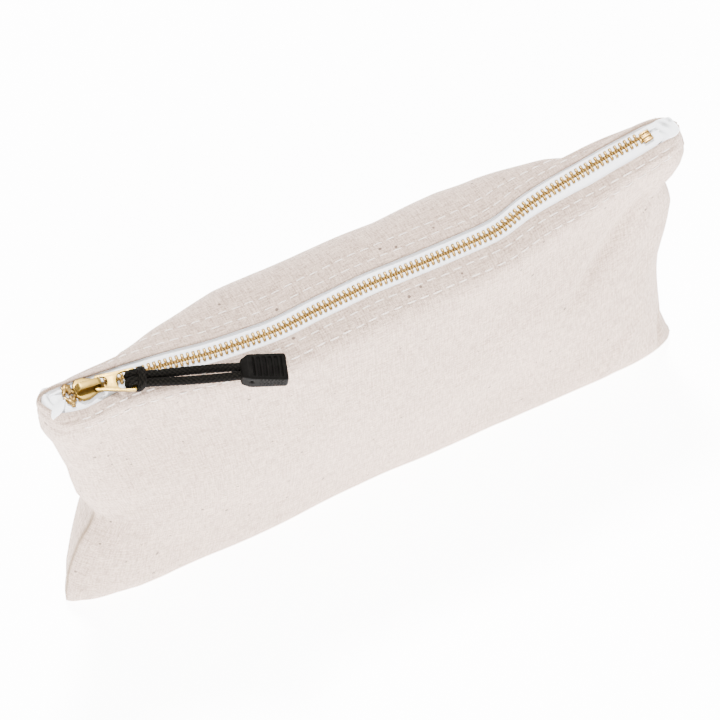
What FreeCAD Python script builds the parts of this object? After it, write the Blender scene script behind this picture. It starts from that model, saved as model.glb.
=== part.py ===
import FreeCAD, Part
import math
import os
from FreeCAD import Placement, Rotation, Vector

# Zippered canvas pouch standing on its flattened bottom, zipper closed.
# +X runs along the zipper from the slider to the bottom stop, +Y to the back, +Z up.
# The origin lies on the floor under the middle of the pouch. Millimetres and degrees.

# Pouch
POUCH_LENGTH = 318.0
END_HEIGHT = 162.0
FRONT_DEPTH = 25.0
BACK_DEPTH = 43.0
CANVAS = 1.2
SEAM_GAP = 0.2
BASE_CUT = 1.5
LEFT_TUCK = 15.0
RIGHT_TUCK = 5.0
HEM_BAND = 5.0
BAND_DROP = 1.5
LEFT_FOOT_INSET = 9.0
RIGHT_FOOT_INSET = 1.0
FOOT_PULL = 6.0

# Run of the zipper: an arc that sags and bows forward between its two ends
SAG = 11.0
BOW = 4.0
TAPE_TILT = 5.0
RUN_INSET = 13.7

# Zipper chain and tape
PITCH = 2.54
TOOTH_WIDTH = 1.1
TOOTH_HEIGHT = 2.3
HEAD_REACH = 0.6
JAW_REACH = 2.75
JAW_SLOT_START = 0.7
HEAD_TAPER = 0.4
TAPE_THICKNESS = 0.6
BEAD_THICKNESS = 0.9
BEAD_WIDTH = 1.0
TAPE_TUCK = 3.0
TAPE_CLEAR = 0.15
HEM_EDGE = 6.5
STOP_LENGTH = 5.0
STOP_RIDGE = 0.35
STOP_RIDGE_WIDTH = 1.2
TOP_STOP_LENGTH = 4.5
END_TAIL = 6.7
END_TAIL_HALF = 4.8

# Slider
SLIDER_LENGTH = 13.0
SLIDER_PLATE = 1.0
FLANGE = 0.7
CHAIN_CLEAR = 0.2
TAPE_GATE = 1.4
PART_SPREAD = 1.75
NECK_LENGTH = 3.4
NOSE_HALF = 3.0
SLIDER_EDGE = 0.35
CROWN_LENGTH = 12.0
CROWN_RISE = 3.5
CROWN_STRAP = 0.9
CROWN_WIDTH = 3.4
CROWN_CORNER = 2.2

# Pull tab
TAB_LENGTH = 17.0
TAB_PLATE = 1.1
TAB_PIVOT_WIDTH = 7.4
TAB_END_WIDTH = 11.8
TAB_BAR = 1.3
TAB_HOLE_LENGTH = 5.2
TAB_HOLE_WIDTH = 5.6
TAB_HOLE_CORNER = 1.0
TAB_RIM = 1.5
TAB_YAW = 17.0
TAB_LIFT = 8.0
TAB_REST_PLAY = 0.3
CORD_HOLE_LENGTH = 5.6
CORD_HOLE_CORNER = 1.8

# Cord pull
CORD = 3.6
CORD_SIDES = 10
CORD_GAP = 0.3
HITCH_SIDES = 14
HITCH_WALL = 1.9
HITCH_CLEAR = 0.5
HITCH_SIDE_CLEAR = 0.9
PULL_LIFT = 3.0
GRIP_START = 46.0
GRIP_LENGTH = 22.0
GRIP_WIDTH = 13.5
GRIP_HEIGHT = 8.0
GRIP_TIP_HEIGHT = 6.2
GRIP_WALL = 1.6
GRIP_BEVEL = 3.2
GRIP_CORNER = 1.4
GRIP_RIB_COUNT = 7
GRIP_RIB_DEPTH = 0.5
GRIP_RIB_WIDTH = 1.0
GRIP_RISE = 1.2
GRIP_PARTING = 0.1
KNOT_CLEAR = 0.3

# Shares of the pouch's own sizes that place the poles of its panels
ALONG_SHARES = (-1, -0.99, -0.96, -0.88, -0.72, -0.5, -0.25, 0, 0.25, 0.5, 0.72, 0.88, 0.96, 0.99, 1)
FRONT_SHOULDER_DROP_SHARE = 0.17
BACK_SHOULDER_DROP_SHARE = 0.05
SHOULDER_DEPTH_SHARE = 0.95
BELLY_HEIGHT_SHARE = 0.5
BELLY_DEPTH_SHARE = 1.07
HIP_HEIGHT_SHARE = 0.22
HIP_DEPTH_SHARE = 1.04
FOOT_HEIGHT_SHARE = 0.035
FOOT_DEPTH_SHARE = 1.0
SOLE_DEPTH_SHARE = 0.62
BAND_WIDTH_SHARE = 0.26
TUCK_RUN_SHARE = 0.72

# Shares of each panel's length and girth at which its sheet is creased into facets
COLUMN_SHARES = (0, 0.012, 0.035, 0.075, 0.13, 0.2, 0.275, 0.35, 0.425, 0.5)
ROW_SHARES = (0, 0.05, 0.11, 0.18, 0.26, 0.34, 0.42, 0.5, 0.58, 0.66, 0.74, 0.81, 0.87, 0.925, 0.965, 1)

# Shares of the canvas by which each row of the inner facets lies in and up from the outer facets
INWARD_SHARES = (0, 0, 0.15, 0.6, 0.9, 1, 1, 1, 1, 1, 1, 1, 0.9, 0.5, 0, 0)
UPWARD_SHARES = (-1, -1, -1, -0.85, -0.45, -0.1, 0, 0, 0, 0, 0, 0, 0.4, 1, 1, 1)

# One overrun serves all cuts
OVERRUN = 2.0

HALF_LENGTH = POUCH_LENGTH / 2
RUN_HALF = HALF_LENGTH - RUN_INSET
SEAM_Y = (FRONT_DEPTH - BACK_DEPTH) / 2
ARC_RISE = math.hypot(SAG, BOW)
ARC_RADIUS = (RUN_HALF ** 2 + ARC_RISE ** 2) / (2 * ARC_RISE)
RUN_MIDDLE = Vector(0, SEAM_Y - BOW, END_HEIGHT - SAG)
ARC_CENTRE = RUN_MIDDLE + Vector(0, BOW, SAG) * (ARC_RADIUS / ARC_RISE)
ARC_AXIS = Vector(0, -SAG, BOW) * (1 / ARC_RISE)
X_AXIS = Vector(1, 0, 0)
Y_AXIS = Vector(0, 1, 0)
Z_AXIS = Vector(0, 0, 1)

SLIDER_X = -RUN_HALF + TOP_STOP_LENGTH + SLIDER_LENGTH / 2
STOP_X = RUN_HALF - STOP_LENGTH / 2
TAPE_TOP = TAPE_THICKNESS / 2
HEM_TOP = TAPE_TOP + TAPE_CLEAR + CANVAS
CHANNEL_HALF_HEIGHT = TOOTH_HEIGHT / 2 + CHAIN_CLEAR
SLIDER_TOP = CHANNEL_HALF_HEIGHT + SLIDER_PLATE
PIVOT_X = CROWN_LENGTH / 2 - CROWN_STRAP - TAB_BAR - TAB_REST_PLAY
PIVOT_Z = SLIDER_TOP + TAB_BAR / 2 + TAB_REST_PLAY
HITCH_RADIUS = TAB_RIM / 2 + HITCH_CLEAR + HITCH_WALL


def arc_angle(x):
    """Angle about the arc's axis, in degrees, of the point of the run at x."""
    return math.degrees(math.asin(x / ARC_RADIUS))


def on_run(x):
    """Placement that takes a piece made at the origin to the run at x."""
    tilt = Placement(RUN_MIDDLE, Rotation(X_AXIS, TAPE_TILT))
    swing = Placement(Vector(), Rotation(ARC_AXIS, arc_angle(x)), ARC_CENTRE)
    return swing.multiply(tilt)


def placed(shape, placement):
    """Copy of a shape taken to a placement."""
    return shape.transformed(placement.toMatrix(), True)


def polygon(points):
    """Closed face through points."""
    return Part.Face(Part.makePolygon(list(points) + [points[0]]))


def plan_prism(corners, low, high):
    """Prism over (x, y) corners between two heights."""
    face = polygon([Vector(x, y, low) for x, y in corners])
    return face.extrude(Vector(0, 0, high - low))


def block(x0, x1, y0, y1, z0, z1):
    """Box between two corners."""
    return Part.makeBox(x1 - x0, y1 - y0, z1 - z0, Vector(x0, y0, z0))


# Canvas panels


def fade(share, power, root):
    """Falls from one at the middle of the pouch to zero at its side seams."""
    return (1 - abs(share) ** power) ** root


def panel_poles(side):
    """Poles of a panel's outer skin, rows along the pouch; side is -1 for the front, 1 for the back, 0 between."""
    depth = FRONT_DEPTH if side < 0 else BACK_DEPTH
    drop = (FRONT_SHOULDER_DROP_SHARE if side < 0 else BACK_SHOULDER_DROP_SHARE) * END_HEIGHT
    columns = []
    for share in ALONG_SHARES:
        tuck = LEFT_TUCK if share < 0 else RIGHT_TUCK
        inset = LEFT_FOOT_INSET if share < 0 else RIGHT_FOOT_INSET
        frame = on_run(share * HALF_LENGTH)
        rim = fade(share, 40, 0.5)
        brow = fade(share, 6, 1)
        upper = fade(share, 2.6, 1.15)
        middle = fade(share, 5, 0.7)
        lower = fade(share, 12, 0.6)
        foot_y = SEAM_Y - FOOT_PULL * (1 - lower)
        edge = HEM_EDGE * rim
        cuff = edge + 2 * CANVAS * rim
        bend = cuff + (BAND_WIDTH_SHARE * depth + HEM_BAND) * upper
        shoulder = max(cuff, SHOULDER_DEPTH_SHARE * depth * upper * (1 - BOW / depth / 2))
        ridge = frame.multVec(Vector())
        column = [frame.multVec(Vector(0, side * edge, HEM_TOP)),
                  frame.multVec(Vector(0, side * (edge + HEM_BAND * brow), HEM_TOP - BAND_DROP * (1 - brow))),
                  frame.multVec(Vector(0, side * bend, HEM_TOP - BAND_DROP * (2 - brow)))]
        half = HALF_LENGTH - tuck / 3
        column.append(Vector(share * half, ridge.y * upper + SEAM_Y * (1 - upper) + side * shoulder,
                             ridge.z - drop))
        half = HALF_LENGTH - (inset + tuck) / 2 - tuck / 2
        column.append(Vector(share * half, SEAM_Y + side * BELLY_DEPTH_SHARE * depth * middle,
                             BELLY_HEIGHT_SHARE * END_HEIGHT))
        half = HALF_LENGTH - inset - tuck / 2
        column.append(Vector(share * half, SEAM_Y + side * HIP_DEPTH_SHARE * depth * (middle + lower) / 2,
                             HIP_HEIGHT_SHARE * END_HEIGHT))
        half = HALF_LENGTH - inset
        column.append(Vector(share * half, foot_y + side * FOOT_DEPTH_SHARE * depth * lower,
                             FOOT_HEIGHT_SHARE * END_HEIGHT))
        column.append(Vector(share * half, foot_y + side * SOLE_DEPTH_SHARE * depth * lower, -BASE_CUT))
        column.append(Vector(share * half, foot_y, -BASE_CUT))
        columns.append(column)
    return columns


def skin(poles):
    """Cubic surface over a net of poles, clamped at its edges."""
    def knots(count):
        spans = count - 3
        return [4] + [1] * (spans - 1) + [4], [k / spans for k in range(spans + 1)]

    along_mults, along_knots = knots(len(poles))
    down_mults, down_knots = knots(len(poles[0]))
    surface = Part.BSplineSurface()
    surface.buildFromPolesMultsKnots(poles, along_mults, down_mults, along_knots, down_knots,
                                     False, False, 3, 3)
    return surface


def outer_net(side):
    """Corners of a panel's outer facets and the seam's place beside each of them."""
    surface = skin(panel_poles(side))
    between = skin(panel_poles(0))
    net = []
    seam = []
    for u in COLUMN_SHARES + tuple(1 - share for share in reversed(COLUMN_SHARES[:-1])):
        column = []
        for v in ROW_SHARES:
            point = surface.value(u, v)
            middle = between.value(u, v).y + side * SEAM_GAP / 2
            out = max(side * (point.y - middle), CANVAS * min(1, 4 * (1 - v)))
            column.append(Vector(point.x, middle + side * out, max(point.z, 0)))
        net.append(column)
        seam.append([between.value(u, v).y + side * SEAM_GAP / 2 for v in ROW_SHARES])
    return net, seam


def inner_net(outer, seam, side):
    """Corners of the inner facets: the outer corners moved in by the canvas, short of the seam."""
    inner = []
    for i, column in enumerate(outer):
        closed = max(0, 1 - min(i, len(outer) - 1 - i) / 3)
        moved = []
        for j, corner in enumerate(column):
            inward = INWARD_SHARES[j]
            upward = UPWARD_SHARES[j]
            if upward < 1:
                inward += (1 - inward) * closed
                upward *= 1 - closed
            out = max(side * (corner.y - seam[i][j]) - inward * CANVAS, 0)
            moved.append(Vector(corner.x, seam[i][j] + side * out, max(corner.z + upward * CANVAS, CANVAS)))
        inner.append(moved)
    return inner


def facets(a, b):
    """Pairs of flat faces between two rows of corners."""
    faces = []
    for k in range(len(a) - 1):
        faces.append(polygon([a[k], b[k], b[k + 1]]))
        faces.append(polygon([a[k], b[k + 1], a[k + 1]]))
    return faces


def make_panel(side):
    """One canvas panel: outer and inner skin, closed along the hem, the side seams and the bottom seam."""
    outside, seam = outer_net(side)
    inside = inner_net(outside, seam, side)
    faces = []
    for net in (outside, inside):
        for a, b in zip(net, net[1:]):
            faces += facets(a, b)
    for end in (0, -1):
        faces += facets(outside[end], inside[end])
        faces += facets([column[end] for column in outside], [column[end] for column in inside])
    shell = Part.Shell(faces)
    shell.sewShape()
    solid = Part.Solid(shell)
    if solid.Volume < 0:
        solid.reverse()
    return solid.removeSplitter()


# Zipper chain and tape


def spread_at(x):
    """How far each row of teeth is parted at x along the run, round the slider's neck."""
    tail = SLIDER_X + SLIDER_LENGTH / 4
    nose = SLIDER_X - SLIDER_LENGTH / 4
    share = min(1, max(0, (tail - x) / (tail - nose)))
    return PART_SPREAD * share


def make_tooth(side):
    """One brass tooth at the origin: a head past the middle and two jaws astride the beaded tape edge."""
    top = TOOTH_HEIGHT / 2
    slot = BEAD_THICKNESS / 2 + TAPE_CLEAR
    outline = ((-HEAD_REACH, -top + HEAD_TAPER), (-HEAD_REACH, top - HEAD_TAPER), (JAW_REACH, top),
               (JAW_REACH, slot), (JAW_SLOT_START, slot), (JAW_SLOT_START, -slot), (JAW_REACH, -slot),
               (JAW_REACH, -top))
    face = polygon([Vector(-TOOTH_WIDTH / 2, side * across, above) for across, above in outline])
    return face.extrude(Vector(TOOTH_WIDTH, 0, 0))


def make_teeth(side):
    """A row of teeth along the run, half a pitch apart from the other row, parted in the slider."""
    tooth = make_tooth(side)
    start = -RUN_HALF + TOP_STOP_LENGTH + PITCH / 2
    end = RUN_HALF - STOP_LENGTH - PITCH / 2
    count = int((end - start) / PITCH) + 1
    row = []
    for index in range(count):
        x = start + index * PITCH + (PITCH / 2 if side > 0 else 0)
        parted = tooth.translated(Vector(0, side * spread_at(x), 0))
        row.append(placed(parted, on_run(x)))
    return Part.makeCompound(row)


def tape_outline(side, inner, outer, beaded):
    """Section of a tape across the run, from its beaded inner edge to its outer edge."""
    bead = BEAD_THICKNESS / 2
    flat = TAPE_THICKNESS / 2
    if not beaded:
        corners = ((inner, -flat), (inner, flat), (outer, flat), (outer, -flat))
    else:
        edge = inner + BEAD_WIDTH
        corners = ((inner, -bead), (inner, bead), (edge, bead), (edge, flat), (outer, flat),
                   (outer, -flat), (edge, -flat), (edge, -bead))
    return [Vector(0, side * across, above) for across, above in corners]


def run_sweep(section, start_x, end_x):
    """Section at the origin swept along the run between two places."""
    face = placed(polygon(section), on_run(start_x))
    return face.revolve(ARC_CENTRE, ARC_AXIS, arc_angle(end_x) - arc_angle(start_x))


def make_tape(side):
    """One zipper tape: beaded edge in the jaws, outer edge tucked under the hem, parted at the slider."""
    inner = JAW_SLOT_START + TAPE_CLEAR
    outer = HEM_EDGE - TAPE_CLEAR
    tail_x = SLIDER_X + SLIDER_LENGTH / 4
    nose_x = SLIDER_X - SLIDER_LENGTH / 4
    narrow_x = RUN_HALF - 2 * STOP_LENGTH
    tuck_half = TUCK_RUN_SHARE * RUN_HALF
    section = tape_outline(side, inner, outer, True)
    parted_section = tape_outline(side, inner + PART_SPREAD, END_TAIL_HALF, True)
    closed = run_sweep(section, tail_x, narrow_x)
    tail = run_sweep(tape_outline(side, inner, END_TAIL_HALF, True), narrow_x, RUN_HALF + END_TAIL)
    tuck = run_sweep(tape_outline(side, outer - TAPE_TUCK, HEM_EDGE + TAPE_TUCK, False), -tuck_half, tuck_half)
    parted = run_sweep(parted_section, -RUN_HALF - END_TAIL, nose_x)
    rings = []
    for x, outline in ((nose_x, parted_section), (tail_x, section)):
        corners = [on_run(x).multVec(point) for point in outline]
        rings.append(Part.makePolygon(corners + corners[:1]))
    flare = Part.makeLoft(rings, True, True)
    return parted.fuse([flare, closed, tail, tuck]).removeSplitter()


def make_top_stop(side):
    """Brass stop clamped astride one tape edge at the slider's end of the run."""
    top = TOOTH_HEIGHT / 2
    slot = BEAD_THICKNESS / 2 + TAPE_CLEAR
    head = JAW_SLOT_START - HEAD_TAPER
    outline = ((head, -top), (head, top), (JAW_REACH, top), (JAW_REACH, slot), (JAW_SLOT_START, slot),
               (JAW_SLOT_START, -slot), (JAW_REACH, -slot), (JAW_REACH, -top))
    length = TOP_STOP_LENGTH - CHAIN_CLEAR
    face = polygon([Vector(-length / 2, side * (across + PART_SPREAD), above) for across, above in outline])
    x = -RUN_HALF + TOP_STOP_LENGTH / 2
    return placed(face.extrude(Vector(length, 0, 0)), on_run(x))


def make_bottom_stop():
    """Brass block clamped across both tapes, with three ridges along its top."""
    top = TOOTH_HEIGHT / 2
    slot = BEAD_THICKNESS / 2 + TAPE_CLEAR
    outline = [(-JAW_REACH, -top), (-JAW_REACH, -slot), (-JAW_SLOT_START, -slot), (-JAW_SLOT_START, slot),
               (-JAW_REACH, slot), (-JAW_REACH, top)]
    ridge_half = STOP_RIDGE_WIDTH / 2
    for place in (-1, 0, 1):
        middle = place * (JAW_REACH - ridge_half)
        if place > -1:
            outline.append((middle - ridge_half, top))
        outline.append((middle - ridge_half, top + STOP_RIDGE))
        outline.append((middle + ridge_half, top + STOP_RIDGE))
        if place < 1:
            outline.append((middle + ridge_half, top))
    outline += [(JAW_REACH, slot), (JAW_SLOT_START, slot), (JAW_SLOT_START, -slot), (JAW_REACH, -slot),
                (JAW_REACH, -top)]
    length = STOP_LENGTH - CHAIN_CLEAR
    face = polygon([Vector(-length / 2, across, above) for across, above in outline])
    return placed(face.extrude(Vector(length, 0, 0)), on_run(STOP_X))


# Slider


def slider_outline(nose, shoulder, tail, length):
    """Plan of the slider: narrow nose, wide shoulders, tail as wide as the closed chain."""
    half = length / 2
    return ((-half, -nose), (-half + length / 6, -shoulder), (-length / 12, -shoulder), (length / 4, -tail),
            (half, -tail), (half, tail), (length / 4, tail), (-length / 12, shoulder),
            (-half + length / 6, shoulder), (-half, nose))


def make_slider_body():
    """Two plates joined by a neck at the nose, with side flanges that leave a gate for the tapes."""
    channel = JAW_REACH + CHAIN_CLEAR
    shoulder = channel + PART_SPREAD
    plan = slider_outline(NOSE_HALF, shoulder + FLANGE, channel + FLANGE, SLIDER_LENGTH)
    body = plan_prism(plan, -SLIDER_TOP, SLIDER_TOP)
    body = body.makeChamfer(SLIDER_EDGE, [edge for edge in body.Edges
                                          if abs(abs(edge.CenterOfMass.z) - SLIDER_TOP) < CHAIN_CLEAR / 2])
    half = SLIDER_LENGTH / 2 + OVERRUN
    hollow = plan_prism(((-half, -shoulder), (-SLIDER_LENGTH / 12, -shoulder), (SLIDER_LENGTH / 4, -channel),
                         (half, -channel), (half, channel), (SLIDER_LENGTH / 4, channel),
                         (-SLIDER_LENGTH / 12, shoulder), (-half, shoulder)),
                        -CHANNEL_HALF_HEIGHT, CHANNEL_HALF_HEIGHT)
    gate = block(-half, half, -HEM_EDGE, HEM_EDGE, -TAPE_GATE / 2, TAPE_GATE / 2)
    neck_half = PART_SPREAD - HEAD_REACH - CHAIN_CLEAR / 2
    nose = -SLIDER_LENGTH / 2
    neck = plan_prism(((nose, -neck_half / 2), (nose + NECK_LENGTH / 3, -neck_half), (nose + NECK_LENGTH, 0),
                       (nose + NECK_LENGTH / 3, neck_half), (nose, neck_half / 2)),
                      -CHANNEL_HALF_HEIGHT, CHANNEL_HALF_HEIGHT)
    body = body.cut(hollow).cut(gate).fuse(neck).removeSplitter()
    return placed(body, on_run(SLIDER_X))


def make_slider_crown():
    """Strap bent into an arch, standing on the upper plate from nose to tail."""
    def arch(inset):
        half = CROWN_LENGTH / 2 - inset
        top = SLIDER_TOP + CROWN_RISE - inset
        corner = CROWN_CORNER - inset
        bend = corner * math.sqrt(0.5)
        foot = SLIDER_TOP
        left = Part.Arc(Vector(-half, 0, top - corner), Vector(-half + corner - bend, 0, top - corner + bend),
                        Vector(-half + corner, 0, top))
        right = Part.Arc(Vector(half - corner, 0, top), Vector(half - corner + bend, 0, top - corner + bend),
                         Vector(half, 0, top - corner))
        return [Part.LineSegment(Vector(-half, 0, foot), Vector(-half, 0, top - corner)), left,
                Part.LineSegment(Vector(-half + corner, 0, top), Vector(half - corner, 0, top)), right,
                Part.LineSegment(Vector(half, 0, top - corner), Vector(half, 0, foot)),
                Part.LineSegment(Vector(half, 0, foot), Vector(-half, 0, foot))]

    solids = []
    for inset, width in ((0, CROWN_WIDTH), (CROWN_STRAP, CROWN_WIDTH + OVERRUN)):
        face = Part.Face(Part.Wire([edge.toShape() for edge in arch(inset)]))
        face.translate(Vector(0, -width / 2, 0))
        solids.append(face.extrude(Vector(0, width, 0)))
    return placed(solids[0].cut(solids[1]), on_run(SLIDER_X))


# Pull tab, made flat with its pivot bar on the origin and its cord bar at the far end


def tab_frame():
    """Placement of the tab on the slider: turned to the front in the crown's play and lifted a little."""
    turn = Rotation(Z_AXIS, -TAB_YAW).multiply(Rotation(Y_AXIS, -TAB_LIFT))
    return on_run(SLIDER_X).multiply(Placement(Vector(PIVOT_X, 0, PIVOT_Z), turn))


def rounded_slot(x0, x1, width, corner, low, high):
    """Slot along X with round corners, as a cutter."""
    slot = block(x0, x1, -width / 2, width / 2, low, high)
    return slot.makeFillet(corner, [e for e in slot.Edges if abs(e.tangentAt(e.FirstParameter).z) > 0.9])


def make_pull_tab():
    """Flat brass tab, waisted, with a slot round the crown and a slot for the cord."""
    far = TAB_LENGTH
    half = TAB_PLATE / 2
    start = -TAB_BAR / 2
    waist = start + TAB_BAR + TAB_HOLE_LENGTH + TAB_RIM / 2
    corners = ((start, -TAB_PIVOT_WIDTH / 2), (waist, -TAB_PIVOT_WIDTH / 2), (far, -TAB_END_WIDTH / 2),
               (far, TAB_END_WIDTH / 2), (waist, TAB_PIVOT_WIDTH / 2), (start, TAB_PIVOT_WIDTH / 2))
    plate = plan_prism(corners, -half, half)
    upright = [e for e in plate.Edges if abs(e.tangentAt(e.FirstParameter).z) > 0.9]
    plate = plate.makeFillet(TAB_BAR, upright)
    pivot_slot = rounded_slot(TAB_BAR / 2, TAB_BAR / 2 + TAB_HOLE_LENGTH, TAB_HOLE_WIDTH, TAB_HOLE_CORNER,
                              -TAB_PLATE, TAB_PLATE)
    hole_end = far - TAB_RIM
    cord_slot = rounded_slot(hole_end - CORD_HOLE_LENGTH, hole_end, TAB_END_WIDTH - 2 * TAB_RIM,
                             CORD_HOLE_CORNER, -TAB_PLATE, TAB_PLATE)
    bar = Part.makeCylinder(TAB_BAR / 2, TAB_HOLE_WIDTH, Vector(0, -TAB_HOLE_WIDTH / 2, 0), Y_AXIS)
    return plate.cut(pivot_slot).cut(cord_slot).fuse(bar).removeSplitter()


# Cord pull, made in a frame on the tab's cord bar, level with the run


def hitch_frame():
    """Placement of the hitch: on the tab's cord bar and in line with it."""
    bar = tab_frame().multVec(Vector(TAB_LENGTH - TAB_RIM / 2, 0, 0))
    return Placement(bar, on_run(SLIDER_X).Rotation.multiply(Rotation(Z_AXIS, -TAB_YAW)))


def pull_frame():
    """Placement of the cord pull: in line with the hitch, lifted clear of the front panel."""
    return hitch_frame().multiply(Placement(Vector(), Rotation(Y_AXIS, -PULL_LIFT)))


def make_cord_hitch():
    """Two turns of the cord side by side round the tab's cord bar."""
    bore = TAB_RIM / 2 + HITCH_CLEAR
    width = (TAB_END_WIDTH - 2 * TAB_RIM - CORD_GAP) / 2 - HITCH_SIDE_CLEAR
    turns = []
    for side in (-1, 1):
        start = side * (width + CORD_GAP) / 2 - width / 2
        spokes = [Rotation(Y_AXIS, 360 * k / HITCH_SIDES).multVec(X_AXIS) for k in range(HITCH_SIDES)]
        face = polygon([spoke * HITCH_RADIUS + Y_AXIS * start for spoke in spokes])
        turn = face.extrude(Y_AXIS * width)
        rims = [e for e in turn.Edges if abs(e.tangentAt(e.FirstParameter).y) < 0.1]
        hole = Part.makeCylinder(bore, width, Y_AXIS * start, Y_AXIS)
        turns.append(turn.makeChamfer(width / 4, rims).cut(hole))
    return Part.makeCompound(turns)


# Route of each strand from the hitch to the grip: along, apart and above shares of the pull's sizes
STRAND_ALONG_SHARES = (0.07, 0.22, 0.45, 0.68, 0.88, 1.0)
STRAND_APART_SHARES = (1.0, 1.06, 1.28, 1.34, 1.12, 1.0)
STRAND_ABOVE_SHARES = (0.0, 0.04, 0.28, 0.62, 0.92, 1.0)


def strand_route(side):
    """Points of one strand, in the pull's frame."""
    apart = side * (CORD + CORD_GAP) / 2
    return [Vector(along * GRIP_START, share * apart, above * GRIP_RISE)
            for along, share, above in zip(STRAND_ALONG_SHARES, STRAND_APART_SHARES, STRAND_ABOVE_SHARES)]


def make_strand(side):
    """One strand of the cord: straight runs joined by tangent arcs."""
    points = strand_route(side)
    ends = [Vector(HITCH_RADIUS + CORD_GAP, points[0].y, points[0].z)] + points[1:-1]
    tip = Vector(points[-1].x + GRIP_WALL, points[-1].y, points[-1].z)
    points = ends + [points[-1], tip]
    edges = []
    radii = []
    before = points[0]
    for a, b, c in zip(points, points[1:], points[2:]):
        to_a = (a - b).normalize()
        to_c = (c - b).normalize()
        turn = math.pi - math.acos(max(-1, min(1, to_a.dot(to_c))))
        reach = 0.45 * min((a - b).Length, (c - b).Length)
        radius = reach / math.tan(turn / 2)
        radii.append(round(radius, 1))
        enter = b + to_a * reach
        leave = b + to_c * reach
        inward = (to_a + to_c).normalize()
        crown = b + inward * (radius / math.cos(turn / 2) - radius)
        edges.append(Part.LineSegment(before, enter).toShape())
        edges.append(Part.Arc(enter, crown, leave).toShape())
        before = leave
    edges.append(Part.LineSegment(before, points[-1]).toShape())
    path = Part.Wire(edges)
    frame = Placement(points[0], Rotation(X_AXIS, points[1] - points[0]))
    corners = [frame.multVec(Rotation(X_AXIS, 360 * k / CORD_SIDES).multVec(Vector(0, 0, CORD / 2)))
               for k in range(CORD_SIDES)]
    section = Part.makePolygon(corners + corners[:1])
    tube = path.makePipeShell([section], True, False)
    share = tube.Volume / (Part.Face(section).Area * path.Length)
    print("strand", side, "length", round(path.Length, 1), "radii", radii, "volume share", round(share, 4))
    return placed(tube, pull_frame())


def grip_side_outline():
    """Side view of the closed grip: bevelled where the cord enters, thinner at the tip."""
    low = GRIP_RISE - GRIP_HEIGHT / 2
    high = GRIP_RISE + GRIP_HEIGHT / 2
    start = GRIP_START
    end = GRIP_START + GRIP_LENGTH
    throat = CORD / 2 + GRIP_WALL / 2
    return ((start, low), (end, low), (end, low + GRIP_TIP_HEIGHT), (start + GRIP_BEVEL, high),
            (start, GRIP_RISE + throat))


def make_grip():
    """Closed grip with its cord bores and knot cavity, parted along the cord into base and cover."""
    face = polygon([Vector(x, -GRIP_WIDTH / 2, z) for x, z in grip_side_outline()])
    body = face.extrude(Vector(0, GRIP_WIDTH, 0))
    upright = [e for e in body.Edges if abs(e.tangentAt(e.FirstParameter).z) > 0.9]
    body = body.makeFillet(GRIP_CORNER, upright)
    cavity_start = GRIP_START + GRIP_WALL
    cavity_end = GRIP_START + GRIP_LENGTH / 2
    cavity = block(cavity_start, cavity_end, -GRIP_WIDTH / 2 + GRIP_WALL, GRIP_WIDTH / 2 - GRIP_WALL,
                   GRIP_RISE - CORD / 2 - KNOT_CLEAR, GRIP_RISE + CORD / 2 + KNOT_CLEAR)
    body = body.cut(cavity)
    for side in (-1, 1):
        bore = Part.makeCylinder(CORD / 2 + GRIP_PARTING, GRIP_WALL + OVERRUN,
                                 Vector(GRIP_START - OVERRUN, side * (CORD + CORD_GAP) / 2, GRIP_RISE), X_AXIS)
        body = body.cut(bore)
    slope = math.atan2(GRIP_HEIGHT - GRIP_TIP_HEIGHT, GRIP_LENGTH - GRIP_BEVEL)
    step = (GRIP_LENGTH - GRIP_BEVEL) / (GRIP_RIB_COUNT + 1)
    top = GRIP_RISE + GRIP_HEIGHT / 2
    for index in range(GRIP_RIB_COUNT):
        along = (index + 1) * step
        groove = block(-GRIP_RIB_WIDTH / 2, GRIP_RIB_WIDTH / 2, -GRIP_WIDTH / 2 + GRIP_CORNER,
                       GRIP_WIDTH / 2 - GRIP_CORNER, -GRIP_RIB_DEPTH, OVERRUN)
        groove.translate(Vector(GRIP_START + GRIP_BEVEL + along, 0, top - along * math.tan(slope)))
        body = body.cut(groove)
    reach = GRIP_START + GRIP_LENGTH + OVERRUN
    upper = block(0, reach, -GRIP_WIDTH, GRIP_WIDTH, GRIP_RISE + GRIP_PARTING / 2, GRIP_RISE + GRIP_HEIGHT)
    lower = block(0, reach, -GRIP_WIDTH, GRIP_WIDTH, GRIP_RISE - GRIP_HEIGHT, GRIP_RISE - GRIP_PARTING / 2)
    return placed(body.common(lower), pull_frame()), placed(body.common(upper), pull_frame())


def make_cord_knot():
    """Knot that joins the two strands inside the grip."""
    start = GRIP_START + GRIP_WALL
    end = GRIP_START + GRIP_LENGTH / 2 - KNOT_CLEAR
    half = GRIP_WIDTH / 2 - GRIP_WALL - KNOT_CLEAR
    knot = block(start, end, -half, half, GRIP_RISE - CORD / 2, GRIP_RISE + CORD / 2)
    knot = knot.makeFillet(CORD / 4, [e for e in knot.Edges if abs(e.tangentAt(e.FirstParameter).y) > 0.9])
    return placed(knot, pull_frame())


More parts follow.
